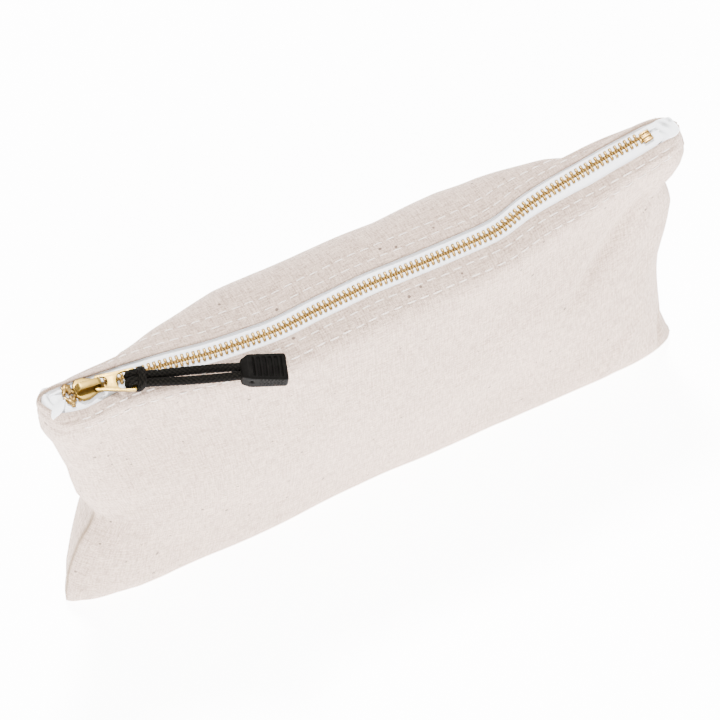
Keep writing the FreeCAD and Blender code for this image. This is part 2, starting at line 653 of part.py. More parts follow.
def main():
    """Build every piece and write one file for each."""
    os.makedirs("parts", exist_ok=True)
    grip_base, grip_cover = make_grip()
    pieces = {
        "front_panel": make_panel(-1),
        "back_panel": make_panel(1),
        "front_tape": make_tape(-1),
        "back_tape": make_tape(1),
        "front_teeth": make_teeth(-1),
        "back_teeth": make_teeth(1),
        "front_top_stop": make_top_stop(-1),
        "back_top_stop": make_top_stop(1),
        "bottom_stop": make_bottom_stop(),
        "slider_body": make_slider_body(),
        "slider_crown": make_slider_crown(),
        "pull_tab": placed(make_pull_tab(), tab_frame()),
        "cord_hitch": placed(make_cord_hitch(), hitch_frame()),
        "front_cord_strand": make_strand(-1),
        "back_cord_strand": make_strand(1),
        "cord_knot": make_cord_knot(),
        "grip_base": grip_base,
        "grip_cover": grip_cover,
    }
    for name, shape in pieces.items():
        box = shape.BoundBox
        print(name, shape.isValid(), len(shape.Solids), round(shape.Volume, 2),
              [round(v, 2) for v in (box.XMin, box.XMax, box.YMin, box.YMax, box.ZMin, box.ZMax)])
        shape.exportStep("parts/" + name + ".step")
    print("slider axis", ARC_AXIS, "centre", ARC_CENTRE, "radius", round(ARC_RADIUS, 2))
    print("slider travel", round(arc_angle(STOP_X - STOP_LENGTH / 2 - SLIDER_LENGTH / 2) - arc_angle(SLIDER_X), 3))
    print("tab pivot", tab_frame().Base, tab_frame().Rotation.multVec(Y_AXIS))
    print("cord pivot", hitch_frame().Base, hitch_frame().Rotation.multVec(Y_AXIS))


main()
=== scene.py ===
"""Looks of the zippered canvas tool bag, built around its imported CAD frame."""

import logging
import math
from dataclasses import dataclass
from enum import Enum

import bpy
import numpy as np
from mathutils import Matrix, Vector


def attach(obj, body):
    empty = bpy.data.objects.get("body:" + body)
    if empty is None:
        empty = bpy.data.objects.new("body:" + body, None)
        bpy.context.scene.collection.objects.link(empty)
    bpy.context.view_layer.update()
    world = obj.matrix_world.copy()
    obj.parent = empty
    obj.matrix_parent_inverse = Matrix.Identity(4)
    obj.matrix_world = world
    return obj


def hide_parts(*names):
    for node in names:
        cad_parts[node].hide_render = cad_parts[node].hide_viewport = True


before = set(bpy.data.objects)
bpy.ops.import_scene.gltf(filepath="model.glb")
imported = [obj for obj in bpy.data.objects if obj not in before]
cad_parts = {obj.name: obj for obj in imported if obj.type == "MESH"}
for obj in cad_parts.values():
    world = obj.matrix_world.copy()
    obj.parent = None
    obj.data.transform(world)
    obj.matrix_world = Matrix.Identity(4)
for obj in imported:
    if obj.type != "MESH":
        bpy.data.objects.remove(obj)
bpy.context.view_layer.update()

LOG = logging.getLogger("tool_bag")
MM = 0.001
TINY = 1e-9

Piece = bpy.types.Object
Socket = bpy.types.NodeSocket
Colour = tuple[float, float, float, float]
Span = tuple[float, float, float, float]
Spot = tuple[float, float, float]
Places = tuple[float, ...]
Pair = tuple[float, float]


class Side(Enum):
    """Which of the two panels, tapes and rows of teeth a piece belongs to."""

    FRONT = -1
    BACK = 1


class End(Enum):
    """Which end of the zipper a piece belongs to."""

    LEFT = -1
    RIGHT = 1


class Body(Enum):
    """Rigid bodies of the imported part."""

    BAG = "bag"
    SLIDER = "slider"
    TAB = "tab"
    PULL = "cord_pull"


class GripHalf(Enum):
    """The two mouldings of the grip, by their CAD nodes."""

    BASE = "grip_base"
    COVER = "grip_cover"


class Crease(Enum):
    """Angle in degrees from which an edge stays sharp, by what the piece is made of."""

    BRASS = 40.0
    TOOTH = 50.0
    CLOTH = 60.0
    THREAD = 80.0
    CORD = 70.0
    GRIP = 38.0


class Slot(Enum):
    """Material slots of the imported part."""

    CANVAS = "canvas"
    TAPE = "tape"
    TEETH = "teeth_brass"
    SLIDER = "slider_brass"
    CORD = "cord"
    GRIP = "grip"


def eased(share: np.ndarray) -> np.ndarray:
    """A share from zero to one with a soft start and end."""
    return share * share * (3 - 2 * share)


def soft_noise(x: np.ndarray, y: np.ndarray, seed: int) -> np.ndarray:
    """Smooth random field with one bump to a unit square.

    Args:
        x: First coordinate.
        y: Second coordinate.
        seed: Which field it is.

    Returns:
        Values between minus one and one.
    """
    cells = 64
    lattice = np.random.default_rng(seed).uniform(-1, 1, (cells, cells))
    i, j = np.floor(x).astype(int), np.floor(y).astype(int)
    a, b = eased(x - i), eased(y - j)
    i, j, next_i, next_j = i % cells, j % cells, (i + 1) % cells, (j + 1) % cells
    low = lattice[i, j] * (1 - a) + lattice[next_i, j] * a
    high = lattice[i, next_j] * (1 - a) + lattice[next_i, next_j] * a
    return low * (1 - b) + high * b


def hill(x: np.ndarray, middle: float | np.ndarray, width: float) -> np.ndarray:
    """Smooth hill of height one, as wide as width on each side of its middle."""
    return np.exp(-(((x - middle) / width) ** 2))


@dataclass(frozen=True)
class Ramp:
    """Soft start of a change: nothing up to its start, all of it one width on, backwards if negative."""

    start: float
    width: float

    def at(self, x: np.ndarray) -> np.ndarray:
        """Share of the change at each place."""
        return np.clip((x - self.start) / self.width, 0, 1)


def clamped_basis(count: int, places: np.ndarray) -> np.ndarray:
    """Weights of the poles of a clamped cubic curve.

    Args:
        count: Number of poles.
        places: Places along the curve, from zero to one.

    Returns:
        One row of weights for each place.
    """
    knots = np.concatenate([np.zeros(3), np.linspace(0, 1, count - 2), np.ones(3)])
    inside = np.clip(places, 0, 1 - TINY)[:, None]
    weights = ((knots[:-1] <= inside) & (inside < knots[1:])).astype(float)
    for degree in (1, 2, 3):
        span_a = knots[degree:-1] - knots[:-degree - 1]
        span_b = knots[degree + 1:] - knots[1:-degree]
        rise = np.where(span_a > 0, (inside - knots[:-degree - 1]) / np.where(span_a > 0, span_a, 1), 0)
        fall = np.where(span_b > 0, (knots[degree + 1:] - inside) / np.where(span_b > 0, span_b, 1), 0)
        weights = rise * weights[:, :-1] + fall * weights[:, 1:]
    return weights


class Bench:
    """Start shapes and finishing steps, done with Blender's own operators."""

    weld: float = 2e-6
    flat_degrees: float = 2.0
    edge_degrees: float = 28.0

    @staticmethod
    def pick(obj: Piece) -> None:
        """Select one object alone and make it active.

        Args:
            obj: The piece.
        """
        bpy.ops.object.select_all(action="DESELECT")
        obj.select_set(True)
        bpy.context.view_layer.objects.active = obj

    @staticmethod
    def edit(obj: Piece) -> None:
        """Open one object in edit mode with all of its mesh selected.

        Args:
            obj: The piece.
        """
        Bench.pick(obj)
        bpy.ops.object.mode_set(mode="EDIT")
        bpy.ops.mesh.select_all(action="SELECT")

    @staticmethod
    def close() -> None:
        """Leave edit mode."""
        bpy.ops.object.mode_set(mode="OBJECT")

    @staticmethod
    def name(obj: Piece, name: str) -> Piece:
        """Give an object and its mesh a name.

        Args:
            obj: The piece.
            name: Its name.

        Returns:
            The same piece.
        """
        obj.name = name
        obj.data.name = name
        return obj

    @staticmethod
    def sheet(name: str, points: np.ndarray, flat: np.ndarray) -> Piece:
        """Grid bent to given points, with its flat places as UV in metres.

        Args:
            name: Name of the piece.
            points: Places of its corners in millimetres, columns by rows by three.
            flat: Flat places of its corners in millimetres, columns by rows by two.

        Returns:
            The new sheet.
        """
        columns, rows = points.shape[:2]
        bpy.ops.object.select_all(action="DESELECT")
        bpy.ops.mesh.primitive_grid_add(x_subdivisions=columns - 1, y_subdivisions=rows - 1, size=1)
        obj = Bench.name(bpy.context.active_object, name)
        mesh = obj.data
        start = np.zeros(len(mesh.vertices) * 3)
        mesh.vertices.foreach_get("co", start)
        start = start.reshape(-1, 3)
        i = np.rint((start[:, 0] + 0.5) * (columns - 1)).astype(int)
        j = np.rint((start[:, 1] + 0.5) * (rows - 1)).astype(int)
        mesh.vertices.foreach_set("co", (points[i, j] * MM).ravel())
        corners = np.zeros(len(mesh.loops), dtype=np.int32)
        mesh.loops.foreach_get("vertex_index", corners)
        mesh.uv_layers[0].data.foreach_set("uv", (flat[i, j] * MM)[corners].ravel())
        mesh.update()
        return obj

    @staticmethod
    def loft(name: str, rings: np.ndarray, marks: np.ndarray | None = None) -> Piece:
        """Closed solid through rings of points, from a cylinder cut across and shaped ring by ring.

        Args:
            name: Name of the piece.
            rings: Places in millimetres, rings by points by three.
            marks: Values of the ridge attribute, rings by points.

        Returns:
            The new solid.
        """
        count, around = rings.shape[:2]
        bpy.ops.object.select_all(action="DESELECT")
        bpy.ops.mesh.primitive_cylinder_add(vertices=around, radius=1, depth=1)
        obj = Bench.name(bpy.context.active_object, name)
        mesh = obj.data
        if count > 2:
            Bench.edit(obj)
            bpy.ops.mesh.select_all(action="DESELECT")
            bpy.ops.mesh.select_mode(type="EDGE")
            Bench.close()
            for edge in mesh.edges:
                a, b = (mesh.vertices[v].co for v in edge.vertices)
                edge.select = not math.isclose(a.z, b.z)
            bpy.ops.object.mode_set(mode="EDIT")
            bpy.ops.mesh.subdivide(number_cuts=count - 2)
            bpy.ops.mesh.select_mode(type="VERT")
            Bench.close()
        start = np.zeros(len(mesh.vertices) * 3)
        mesh.vertices.foreach_get("co", start)
        start = start.reshape(-1, 3)
        ring = np.rint((start[:, 2] + 0.5) * (count - 1)).astype(int)
        turn = np.arctan2(start[:, 0], start[:, 1]) / (2 * math.pi) * around
        spoke = np.rint(turn).astype(int) % around
        mesh.vertices.foreach_set("co", (rings[ring, spoke] * MM).ravel())
        if marks is not None:
            mesh.attributes.new("ridge", "FLOAT", "POINT").data.foreach_set("value", marks[ring, spoke])
        mesh.update()
        Bench.edit(obj)
        bpy.ops.mesh.normals_make_consistent(inside=False)
        Bench.close()
        return obj

    @staticmethod
    def change(obj: Piece, kind: str, **settings: object) -> None:
        """Add a modifier, set it and apply it.

        Args:
            obj: Piece that is changed.
            kind: Blender's name of the modifier.
            **settings: Values of the modifier.
        """
        Bench.pick(obj)
        bpy.ops.object.modifier_add(type=kind)
        modifier = obj.modifiers[-1]
        for key, value in settings.items():
            setattr(modifier, key, value)
        bpy.ops.object.modifier_apply(modifier=modifier.name)

    @staticmethod
    def smooth(obj: Piece, crease: Crease) -> None:
        """Shade smooth where faces meet at less than an angle."""
        Bench.pick(obj)
        bpy.ops.object.shade_smooth_by_angle(angle=math.radians(crease.value))

    @staticmethod
    def thicken(obj: Piece, cloth: float, offset: float = -1.0) -> None:
        """Give a sheet its thickness, in millimetres, and shade it smooth."""
        Bench.change(obj, "SOLIDIFY", thickness=cloth * MM, offset=offset)
        Bench.smooth(obj, Crease.CLOTH)

    @staticmethod
    def softened(name: str, node: str, edge: float, steps: int = 2) -> Piece:
        """Copy of a CAD solid with its edges rounded.

        Args:
            name: Name of the piece.
            node: CAD node that is copied.
            edge: Width of the rounding in millimetres.
            steps: Number of faces across the rounding.

        Returns:
            The new piece.
        """
        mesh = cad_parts[node].data.copy()
        mesh.materials.clear()
        obj = bpy.data.objects.new(name, mesh)
        bpy.context.scene.collection.objects.link(obj)
        Bench.name(obj, name)
        Bench.edit(obj)
        bpy.ops.mesh.remove_doubles(threshold=Bench.weld)
        bpy.ops.mesh.dissolve_limited(angle_limit=math.radians(Bench.flat_degrees))
        Bench.close()
        Bench.change(obj, "BEVEL", width=edge * MM, segments=steps, limit_method="ANGLE",
                     angle_limit=math.radians(Bench.edge_degrees), use_clamp_overlap=True)
        Bench.smooth(obj, Crease.BRASS)
        return obj

    @staticmethod
    def stamped(name: str, pattern: Piece, places: list[Matrix]) -> Piece:
        """Many copies of one small shape as one piece; the pattern itself is removed.

        Args:
            name: Name of the piece.
            pattern: Shape that is repeated, in metres round the origin.
            places: Where each copy goes, in metres.

        Returns:
            The new piece.
        """
        mesh = pattern.data
        corners = np.array([v.co for v in mesh.vertices])
        faces = [list(p.vertices) for p in mesh.polygons]
        verts = []
        polygons = []
        for place in places:
            turn = np.array(place)
            flip = np.linalg.det(turn[:3, :3]) < 0
            base = len(verts) * len(corners)
            verts.append(corners @ turn[:3, :3].T + turn[:3, 3])
            polygons += [[base + v for v in (reversed(f) if flip else f)] for f in faces]
        made = bpy.data.meshes.new(name)
        made.from_pydata(np.concatenate(verts).tolist(), [], polygons)
        made.update()
        obj = bpy.data.objects.new(name, made)
        bpy.context.scene.collection.objects.link(obj)
        bpy.data.objects.remove(pattern)
        return obj


class NodeBoard:
    """A material under construction."""

    def __init__(self, name: str) -> None:
        """Start a material with its surface shader.

        Args:
            name: Name of the material.
        """
        self.material = bpy.data.materials.new(name)
        self.material.use_nodes = True
        self.tree = self.material.node_tree
        self.shader = next(n for n in self.tree.nodes if n.type == "BSDF_PRINCIPLED")

    def put(self, kind: str, sockets: dict[object, object], **settings: object) -> bpy.types.Node:
        """Add a node.

        Args:
            kind: Blender's name of the node, without its common start.
            sockets: Inputs by name or number, each a value or another node's output.
            **settings: Options of the node.

        Returns:
            The new node.
        """
        node = self.tree.nodes.new("ShaderNode" + kind)
        for key, value in settings.items():
            setattr(node, key, value)
        for key, value in sockets.items():
            self.feed(node.inputs[key], value)
        return node

    def feed(self, socket: Socket, value: object) -> None:
        """Set a socket to a value or join it to an output.

        Args:
            socket: Input that is fed.
            value: A value or another node's output.
        """
        if isinstance(value, Socket):
            self.tree.links.new(value, socket)
        else:
            socket.default_value = value

    def set(self, **values: object) -> None:
        """Set or join inputs of the surface shader, with _ for a blank in their names."""
        for key, value in values.items():
            self.feed(self.shader.inputs[key.replace("_", " ")], value)

    def math(self, operation: str, a: object, b: object = 0.0) -> Socket:
        """Result of an arithmetic node."""
        return self.put("Math", {0: a, 1: b}, operation=operation).outputs[0]

    def blend(self, share: object, a: object, b: object) -> Socket:
        """Mixture of two colours."""
        return self.put("Mix", {0: share, 6: a, 7: b}, data_type="RGBA").outputs[2]

    def range(self, value: object, low: float, high: float, to_low: float,
              to_high: float) -> Socket:
        """A value moved from one range to another and held inside it."""
        sockets = {0: value, 1: low, 2: high, 3: to_low, 4: to_high}
        return self.put("MapRange", sockets, clamp=True).outputs[0]

    def mark(self, name: str) -> Socket:
        """Value of an attribute that the piece's mesh carries."""
        return self.put("Attribute", {}, attribute_name=name).outputs["Fac"]

    def place(self, source: str, scale: Spot) -> Socket:
        """Places on the piece, stretched by a scale.

        Args:
            source: Output of the coordinate node, UV or Object.
            scale: Stretch along each direction.

        Returns:
            The stretched places.
        """
        start = self.put("TexCoord", {}).outputs[source]
        return self.put("Mapping", {"Vector": start, "Scale": scale}).outputs[0]

    def noise(self, source: str, scale: Spot, detail: float) -> Socket:
        """Cloudy pattern on the piece, with one cloud to a unit of the scaled places."""
        sockets = {"Vector": self.place(source, scale), "Scale": 1.0, "Detail": detail}
        return self.put("TexNoise", sockets).outputs[0]

    def bump(self, height: object, strength: float, distance: float) -> None:
        """Give the surface shader a relief."""
        node = self.put("Bump", {"Height": height, "Strength": strength, "Distance": distance})
        self.set(Normal=node.outputs[0])


@dataclass(frozen=True)
class CanvasFinish:
    """Natural plain-weave canvas with slubs, seed flecks and painted shade in its creases; patterns are
    counted to the metre of cloth.
    """

    cream: Colour = (0.605, 0.448, 0.356, 1)
    shade: Colour = (0.25, 0.17, 0.13, 1)
    fleck: Colour = (0.06, 0.035, 0.022, 1)
    # crease: colour of the painted shade in the creases, laid on by the seam mark
    crease: Colour = (0.13, 0.075, 0.03, 1)
    thread: float = 0.00056
    thread_drift: float = 0.0004
    drift: Spot = (900, 900, 1)
    weft: Spot = (150, 1150, 1)
    warp: Spot = (1150, 150, 1)
    grain: Spot = (1050, 1050, 1)
    cloud: Spot = (16, 16, 1)
    slub_tone: Span = (0.78, 1.26, 0.0, 0.6)
    cloud_tone: Span = (0.35, 0.65, 0.0, 0.08)
    grain_tone: Span = (0.36, 0.68, 0.0, 0.48)
    line_tone: Span = (-2, 2, -0.12, 0.12)
    fleck_cells: Spot = (150, 165, 1)
    fleck_chance: float = 0.35
    fleck_sizes: Pair = (0.03, 0.14)
    fleck_tone: Span = (0.0, 0.025, 0.0, 0.85)
    crease_shade_share: float = 0.9
    weave_share: float = 0.5
    slub_share: float = 1.1
    bump: float = 0.7
    relief: float = 0.0004

    def material(self) -> bpy.types.Material:
        """Build the material.

        Returns:
            The new material.
        """
        board = NodeBoard("canvas_weave")
        waves = self.threads(board)
        slubs = board.math("ADD", board.noise("UV", self.weft, detail=2),
                           board.noise("UV", self.warp, detail=2))
        tone = board.math("ADD", board.range(slubs, *self.slub_tone),
                          board.range(board.noise("UV", self.cloud, detail=4), *self.cloud_tone))
        grain = board.noise("UV", self.grain, detail=2)
        tone = board.math("ADD", tone, board.range(grain, *self.grain_tone))
        tone = board.math("ADD", tone, board.range(board.math("ADD", *waves), *self.line_tone))
        cloth = board.blend(self.flecks(board), board.blend(tone, self.cream, self.shade), self.fleck)
        # Painted shade: the seam mark darkens the end seams, the dog-ear and the back hem's fold towards the
        # crease colour.
        seam = board.math("MULTIPLY", board.mark("seam"), self.crease_shade_share)
        board.set(Base_Color=board.blend(seam, cloth, self.crease), Roughness=0.92, Sheen_Weight=0.1,
                  Sheen_Roughness=0.6)
        weave = board.math("MULTIPLY", board.math("MULTIPLY", *waves), self.weave_share)
        slubs = board.math("MULTIPLY", slubs, self.slub_share)
        board.bump(board.math("ADD", weave, slubs), self.bump, self.relief)
        return board.material

    def threads(self, board: NodeBoard) -> list[Socket]:
        """Waves of the threads along and across the cloth, which wander a little.

        Args:
            board: Material under construction.

        Returns:
            One wave for each direction.
        """
        split = board.put("SeparateXYZ", {0: board.put("TexCoord", {}).outputs["UV"]})
        wander = board.math("MULTIPLY", board.noise("UV", self.drift, detail=2), self.thread_drift)
        waves = []
        for axis in (0, 1):
            moved = board.math("ADD", split.outputs[axis], wander)
            waves.append(board.math("SINE", board.math("MULTIPLY", moved, math.pi / self.thread)))
        return waves

    def flecks(self, board: NodeBoard) -> Socket:
        """Share of seed fleck at each place: dots of uneven size in some cells of a loose net.

        Args:
            board: Material under construction.

        Returns:
            Zero on plain cloth, more on a fleck.
        """
        cells = board.put("TexVoronoi", {"Vector": board.place("UV", self.fleck_cells), "Scale": 1.0})
        chance = board.put("SeparateColor", {0: cells.outputs["Color"]}).outputs[0]
        chosen = board.math("GREATER_THAN", chance, self.fleck_chance)
        size = board.range(chance, self.fleck_chance, 1.0, *self.fleck_sizes)
        reach = board.math("MULTIPLY", chosen, size)
        return board.range(board.math("SUBTRACT", reach, cells.outputs["Distance"]), *self.fleck_tone)


@dataclass(frozen=True)
class TapeFinish:
    """White woven zipper tape with fine ribs along it and painted shade in the hollows of its folds; rib and
    pick are in metres.
    """

    white: Colour = (0.94, 0.94, 0.96, 1)
    shade: Colour = (0.76, 0.78, 0.82, 1)
    # colour of the painted shade in the hollows of the folded tails
    hollow_shade_colour: Colour = (0.22, 0.225, 0.21, 1)
    rib: float = 0.0007
    pick: float = 0.0005
    fuzz: Spot = (700, 1500, 1)
    weave_tone: Span = (-1.5, 1.5, 0.3, 0.0)
    fuzz_tone: Span = (0.3, 0.7, 0.0, 0.4)
    hollow_shade_share: float = 0.8
    pick_share: float = 0.5
    bump: float = 0.35
    relief: float = 0.00015

    def material(self) -> bpy.types.Material:
        """Build the material.

        Returns:
            The new material.
        """
        board = NodeBoard("tape_weave")
        split = board.put("SeparateXYZ", {0: board.put("TexCoord", {}).outputs["UV"]})
        ribs = board.math("SINE", board.math("MULTIPLY", split.outputs[1], 2 * math.pi / self.rib))
        picks = board.math("SINE", board.math("MULTIPLY", split.outputs[0], 2 * math.pi / self.pick))
        weave = board.math("ADD", ribs, board.math("MULTIPLY", picks, self.pick_share))
        fuzz = board.noise("UV", self.fuzz, detail=3)
        tone = board.math("ADD", board.range(weave, *self.weave_tone), board.range(fuzz, *self.fuzz_tone))
        # Painted shade in the hollows of the folded tails, where little light reaches the tape.
        hollow_shade = board.math("MULTIPLY", board.mark("hollow_shade"), self.hollow_shade_share)
        cloth = board.blend(hollow_shade, board.blend(tone, self.white, self.shade), self.hollow_shade_colour)
        board.set(Base_Color=cloth, Roughness=0.85, Sheen_Weight=0.2)
        board.bump(board.math("ADD", weave, fuzz), self.bump, self.relief)
        return board.material


@dataclass(frozen=True)
class BrassFinish:
    """Plated or bare brass with light wear."""

    name: str
    bright: Colour
    dull: Colour
    roughness: float
    dent: float
    cloud: Spot = (420, 420, 420)
    grain: Spot = (2600, 2600, 2600)
    cloud_tone: Span = (0.35, 0.7, 0.0, 1.0)
    grain_ends: Pair = (0.3, 0.7)
    smoother: float = 0.06
    rougher: float = 0.1
    grain_share: float = 0.3
    relief: float = 0.0002

    def material(self) -> bpy.types.Material:
        """Build the material.

        Returns:
            The new material.
        """
        board = NodeBoard(self.name)
        clouds = board.noise("Object", self.cloud, detail=4)
        grain = board.noise("Object", self.grain, detail=2)
        rough = board.range(grain, *self.grain_ends, self.roughness - self.smoother,
                            self.roughness + self.rougher)
        board.set(Base_Color=board.blend(board.range(clouds, *self.cloud_tone), self.bright, self.dull),
                  Metallic=1.0, Roughness=rough)
        board.bump(board.math("ADD", clouds, board.math("MULTIPLY", grain, self.grain_share)),
                   self.dent, self.relief)
        return board.material


@dataclass(frozen=True)
class CordFinish:
    """Black braided cord, lighter on the ridges of the braid: partly wear, partly a painted highlight that
    stands in for the braid's light and shade.
    """

    black: Colour = (0.0007, 0.0006, 0.0005, 1)
    wear_and_highlight: Colour = (0.0085, 0.0073, 0.0058, 1)
    fibre: Spot = (2200, 2200, 2200)
    ridge_tone: Span = (0.55, 1.0, 0.0, 1.0)
    fibre_tone: Span = (0.35, 0.65, 0.35, 1.0)
    gloss: float = 0.03
    bump: float = 0.8
    relief: float = 0.0002

    def material(self) -> bpy.types.Material:
        """Build the material.

        Returns:
            The new material.
        """
        board = NodeBoard("cord_braid")
        fibres = board.noise("Object", self.fibre, detail=3)
        ridge = board.range(board.mark("ridge"), *self.ridge_tone)
        # Wear and painted highlight: the braid's ridges are lighter than its grooves, standing in for light
        # and shade that the relief gives too faintly.
        wear = board.math("MULTIPLY", ridge, board.range(fibres, *self.fibre_tone))
        board.set(Base_Color=board.blend(wear, self.black, self.wear_and_highlight), Roughness=0.75,
                  Specular_IOR_Level=self.gloss)
        board.bump(fibres, self.bump, self.relief)
        return board.material


@dataclass(frozen=True)
class GripFinish:
    """Black moulded plastic, semi-matt."""

    black: Colour = (0.003, 0.0027, 0.0024, 1)
    scuffed: Colour = (0.0052, 0.0048, 0.0042, 1)
    cloud: Spot = (300, 300, 300)
    grain: Spot = (5200, 5200, 5200)
    cloud_tone: Span = (0.45, 0.75, 0.0, 1.0)
    rough_tone: Span = (0.3, 0.7, 0.42, 0.54)
    gloss: float = 0.015
    bump: float = 0.15
    relief: float = 0.00006

    def material(self) -> bpy.types.Material:
        """Build the material.

        Returns:
            The new material.
        """
        board = NodeBoard("grip_plastic")
        clouds = board.noise("Object", self.cloud, detail=4)
        board.set(Base_Color=board.blend(board.range(clouds, *self.cloud_tone), self.black, self.scuffed),
                  Roughness=board.range(clouds, *self.rough_tone), Specular_IOR_Level=self.gloss)
        board.bump(board.noise("Object", self.grain, detail=2), self.bump, self.relief)
        return board.material


@dataclass(frozen=True)
class ThreadFinish:
    """White twisted sewing thread."""

    white: Colour = (0.78, 0.69, 0.62, 1)
    shade: Colour = (0.52, 0.42, 0.36, 1)
    twist: Spot = (2600, 2600, 2600)
    twist_tone: Span = (0.4, 0.7, 0.0, 1.0)
    bump: float = 0.3
    relief: float = 0.0001

    def material(self) -> bpy.types.Material:
        """Build the material.

        Returns:
            The new material.
        """
        board = NodeBoard("sewing_thread")
        twist = board.noise("Object", self.twist, detail=2)
        board.set(Base_Color=board.blend(board.range(twist, *self.twist_tone), self.white, self.shade),
                  Roughness=0.6, Sheen_Weight=0.15)
        board.bump(twist, self.bump, self.relief)
        return board.material


@dataclass(frozen=True)
class FloorFinish:
    """Pale studio floor that glows, so that it melts into the white ground."""

    pale: Colour = (0.93, 0.93, 0.935, 1)
    grey: Colour = (0.915, 0.915, 0.92, 1)
    cloud: Spot = (2, 2, 2)
    glow: float = 9.5

    def material(self) -> bpy.types.Material:
        """Build the material.

        Returns:
            The new material.
        """
        board = NodeBoard("studio_floor")
        clouds = board.noise("Object", self.cloud, detail=2)
        board.set(Base_Color=board.blend(clouds, self.pale, self.grey), Roughness=0.8,
                  Emission_Color=(1, 1, 1, 1), Emission_Strength=self.glow)
        return board.material


class Finishes:
    """All finishes of the bag, built once."""

    def __init__(self) -> None:
        """Build every material."""
        teeth = BrassFinish("teeth_brass", bright=(0.34, 0.21, 0.062, 1), dull=(0.22, 0.125, 0.034, 1),
                            roughness=0.34, dent=0.06)
        slider = BrassFinish("slider_brass", bright=(0.25, 0.162, 0.036, 1), dull=(0.18, 0.112, 0.024, 1),
                             roughness=0.36, dent=0.06)
        self.canvas = CanvasFinish().material()
        self.tape = TapeFinish().material()
        self.teeth = teeth.material()
        self.slider = slider.material()
        self.cord = CordFinish().material()
        self.grip = GripFinish().material()
        self.thread = ThreadFinish().material()
        self.floor = FloorFinish().material()


def dress(obj: Piece, material: bpy.types.Material, body: Body, slot: Slot,
          *nodes: str) -> Piece:
    """Give a finished piece its material and body, and hide the CAD nodes it stands for.

    Args:
        obj: The piece.
        material: Its finish.
        body: Body that it moves with.
        slot: Slot of the record that it takes its finish from; not used.
        *nodes: CAD nodes that it replaces.

    Returns:
        The same piece.
    """
    obj.data.materials.clear()
    obj.data.materials.append(material)
    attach(obj, body.value)
    if nodes:
        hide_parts(*nodes)
    LOG.info("%s rides on %s", obj.name, body.value)
    return obj


@dataclass(frozen=True)
class ZipperRun:
    """The arc that the zipper follows, and the small waves of the sewn chain beside it, in millimetres."""

    half: float = 145.3
    seam_y: float = -9.0
    end_height: float = 162.0
    sag: float = 11.0
    bow: float = 4.0
    tilt: float = 5.0
    wave_places: Places = (-170, -112, -94, -78, -46, -28, 0, 30, 60, 68, 78, 96, 122, 138, 170)
    wave_shifts: Places = (0, -0.4, 0.4, 2.4, 3.7, 1.8, 0.5, 2.2, 4.0, 3.4, 0.3, -1.2, -1.8, -1.4, -1.0)
    wave_reach: int = 200
    wave_blur: int = 23

    @property
    def rise(self) -> float:
        """Depth of the arc between its ends."""
        return math.hypot(self.sag, self.bow)

    @property
    def radius(self) -> float:
        """Radius of the arc."""
        return (self.half ** 2 + self.rise ** 2) / (2 * self.rise)

    def wave(self, x: np.ndarray) -> np.ndarray:
        """Waves of the chain beside the arc, with their corners rounded off.

        Args:
            x: Places along the run.

        Returns:
            How far the chain stands forward of the arc at each place.
        """
        table = np.arange(-self.wave_reach, self.wave_reach + 1.0)
        kernel = np.hanning(self.wave_blur)
        level = np.interp(table, self.wave_places, self.wave_shifts)
        level = np.pad(level, self.wave_blur // 2, mode="edge")
        smooth = np.convolve(level, kernel / kernel.sum(), mode="valid")
        return np.interp(x, table, smooth)

    def points(self, x: np.ndarray, y: np.ndarray, z: np.ndarray) -> np.ndarray:
        """Places beside the arc.

        Args:
            x: Place along the run.
            y: Distance behind the run, in the tape's plane.
            z: Height over the tape's plane.

        Returns:
            Places in the frame of the part, in millimetres.
        """
        x, y, z = np.broadcast_arrays(np.asarray(x, float), y, z)
        t = math.radians(self.tilt)
        axis = np.array([0, -self.sag, self.bow]) / self.rise
        up = np.array([0, self.bow, self.sag]) / self.rise * self.radius
        middle = np.array([0, self.seam_y - self.bow, self.end_height - self.sag])
        level = np.stack([np.zeros_like(x), y * math.cos(t) - z * math.sin(t),
                          y * math.sin(t) + z * math.cos(t)], -1) - up
        angle = np.arcsin(x / self.radius)[..., None]
        turned = (level * np.cos(angle) + np.cross(axis, level) * np.sin(angle)
                  + (level @ axis)[..., None] * axis * (1 - np.cos(angle)))
        return turned + up + middle

    def place(self, x: float, shift: float = 0.0, turn: float = 0.0) -> Matrix:
        """Place and turn of a piece at x on the run, in millimetres.

        Args:
            x: Place along the run.
            shift: Distance behind the run.
            turn: Turn in the tape's plane, in radians.

        Returns:
            The placement.
        """
        spot = self.points(np.full(3, x), np.array([shift, shift + 1, shift]), np.array([0.0, 0.0, 1.0]))
        along_y, along_z = Vector(spot[1] - spot[0]), Vector(spot[2] - spot[0])
        along_x = along_y.cross(along_z)
        made = Matrix((along_x, along_y, along_z)).transposed().to_4x4()
        made.translation = Vector(spot[0])
        return made @ Matrix.Rotation(turn, 4, "Z")


RUN = ZipperRun()


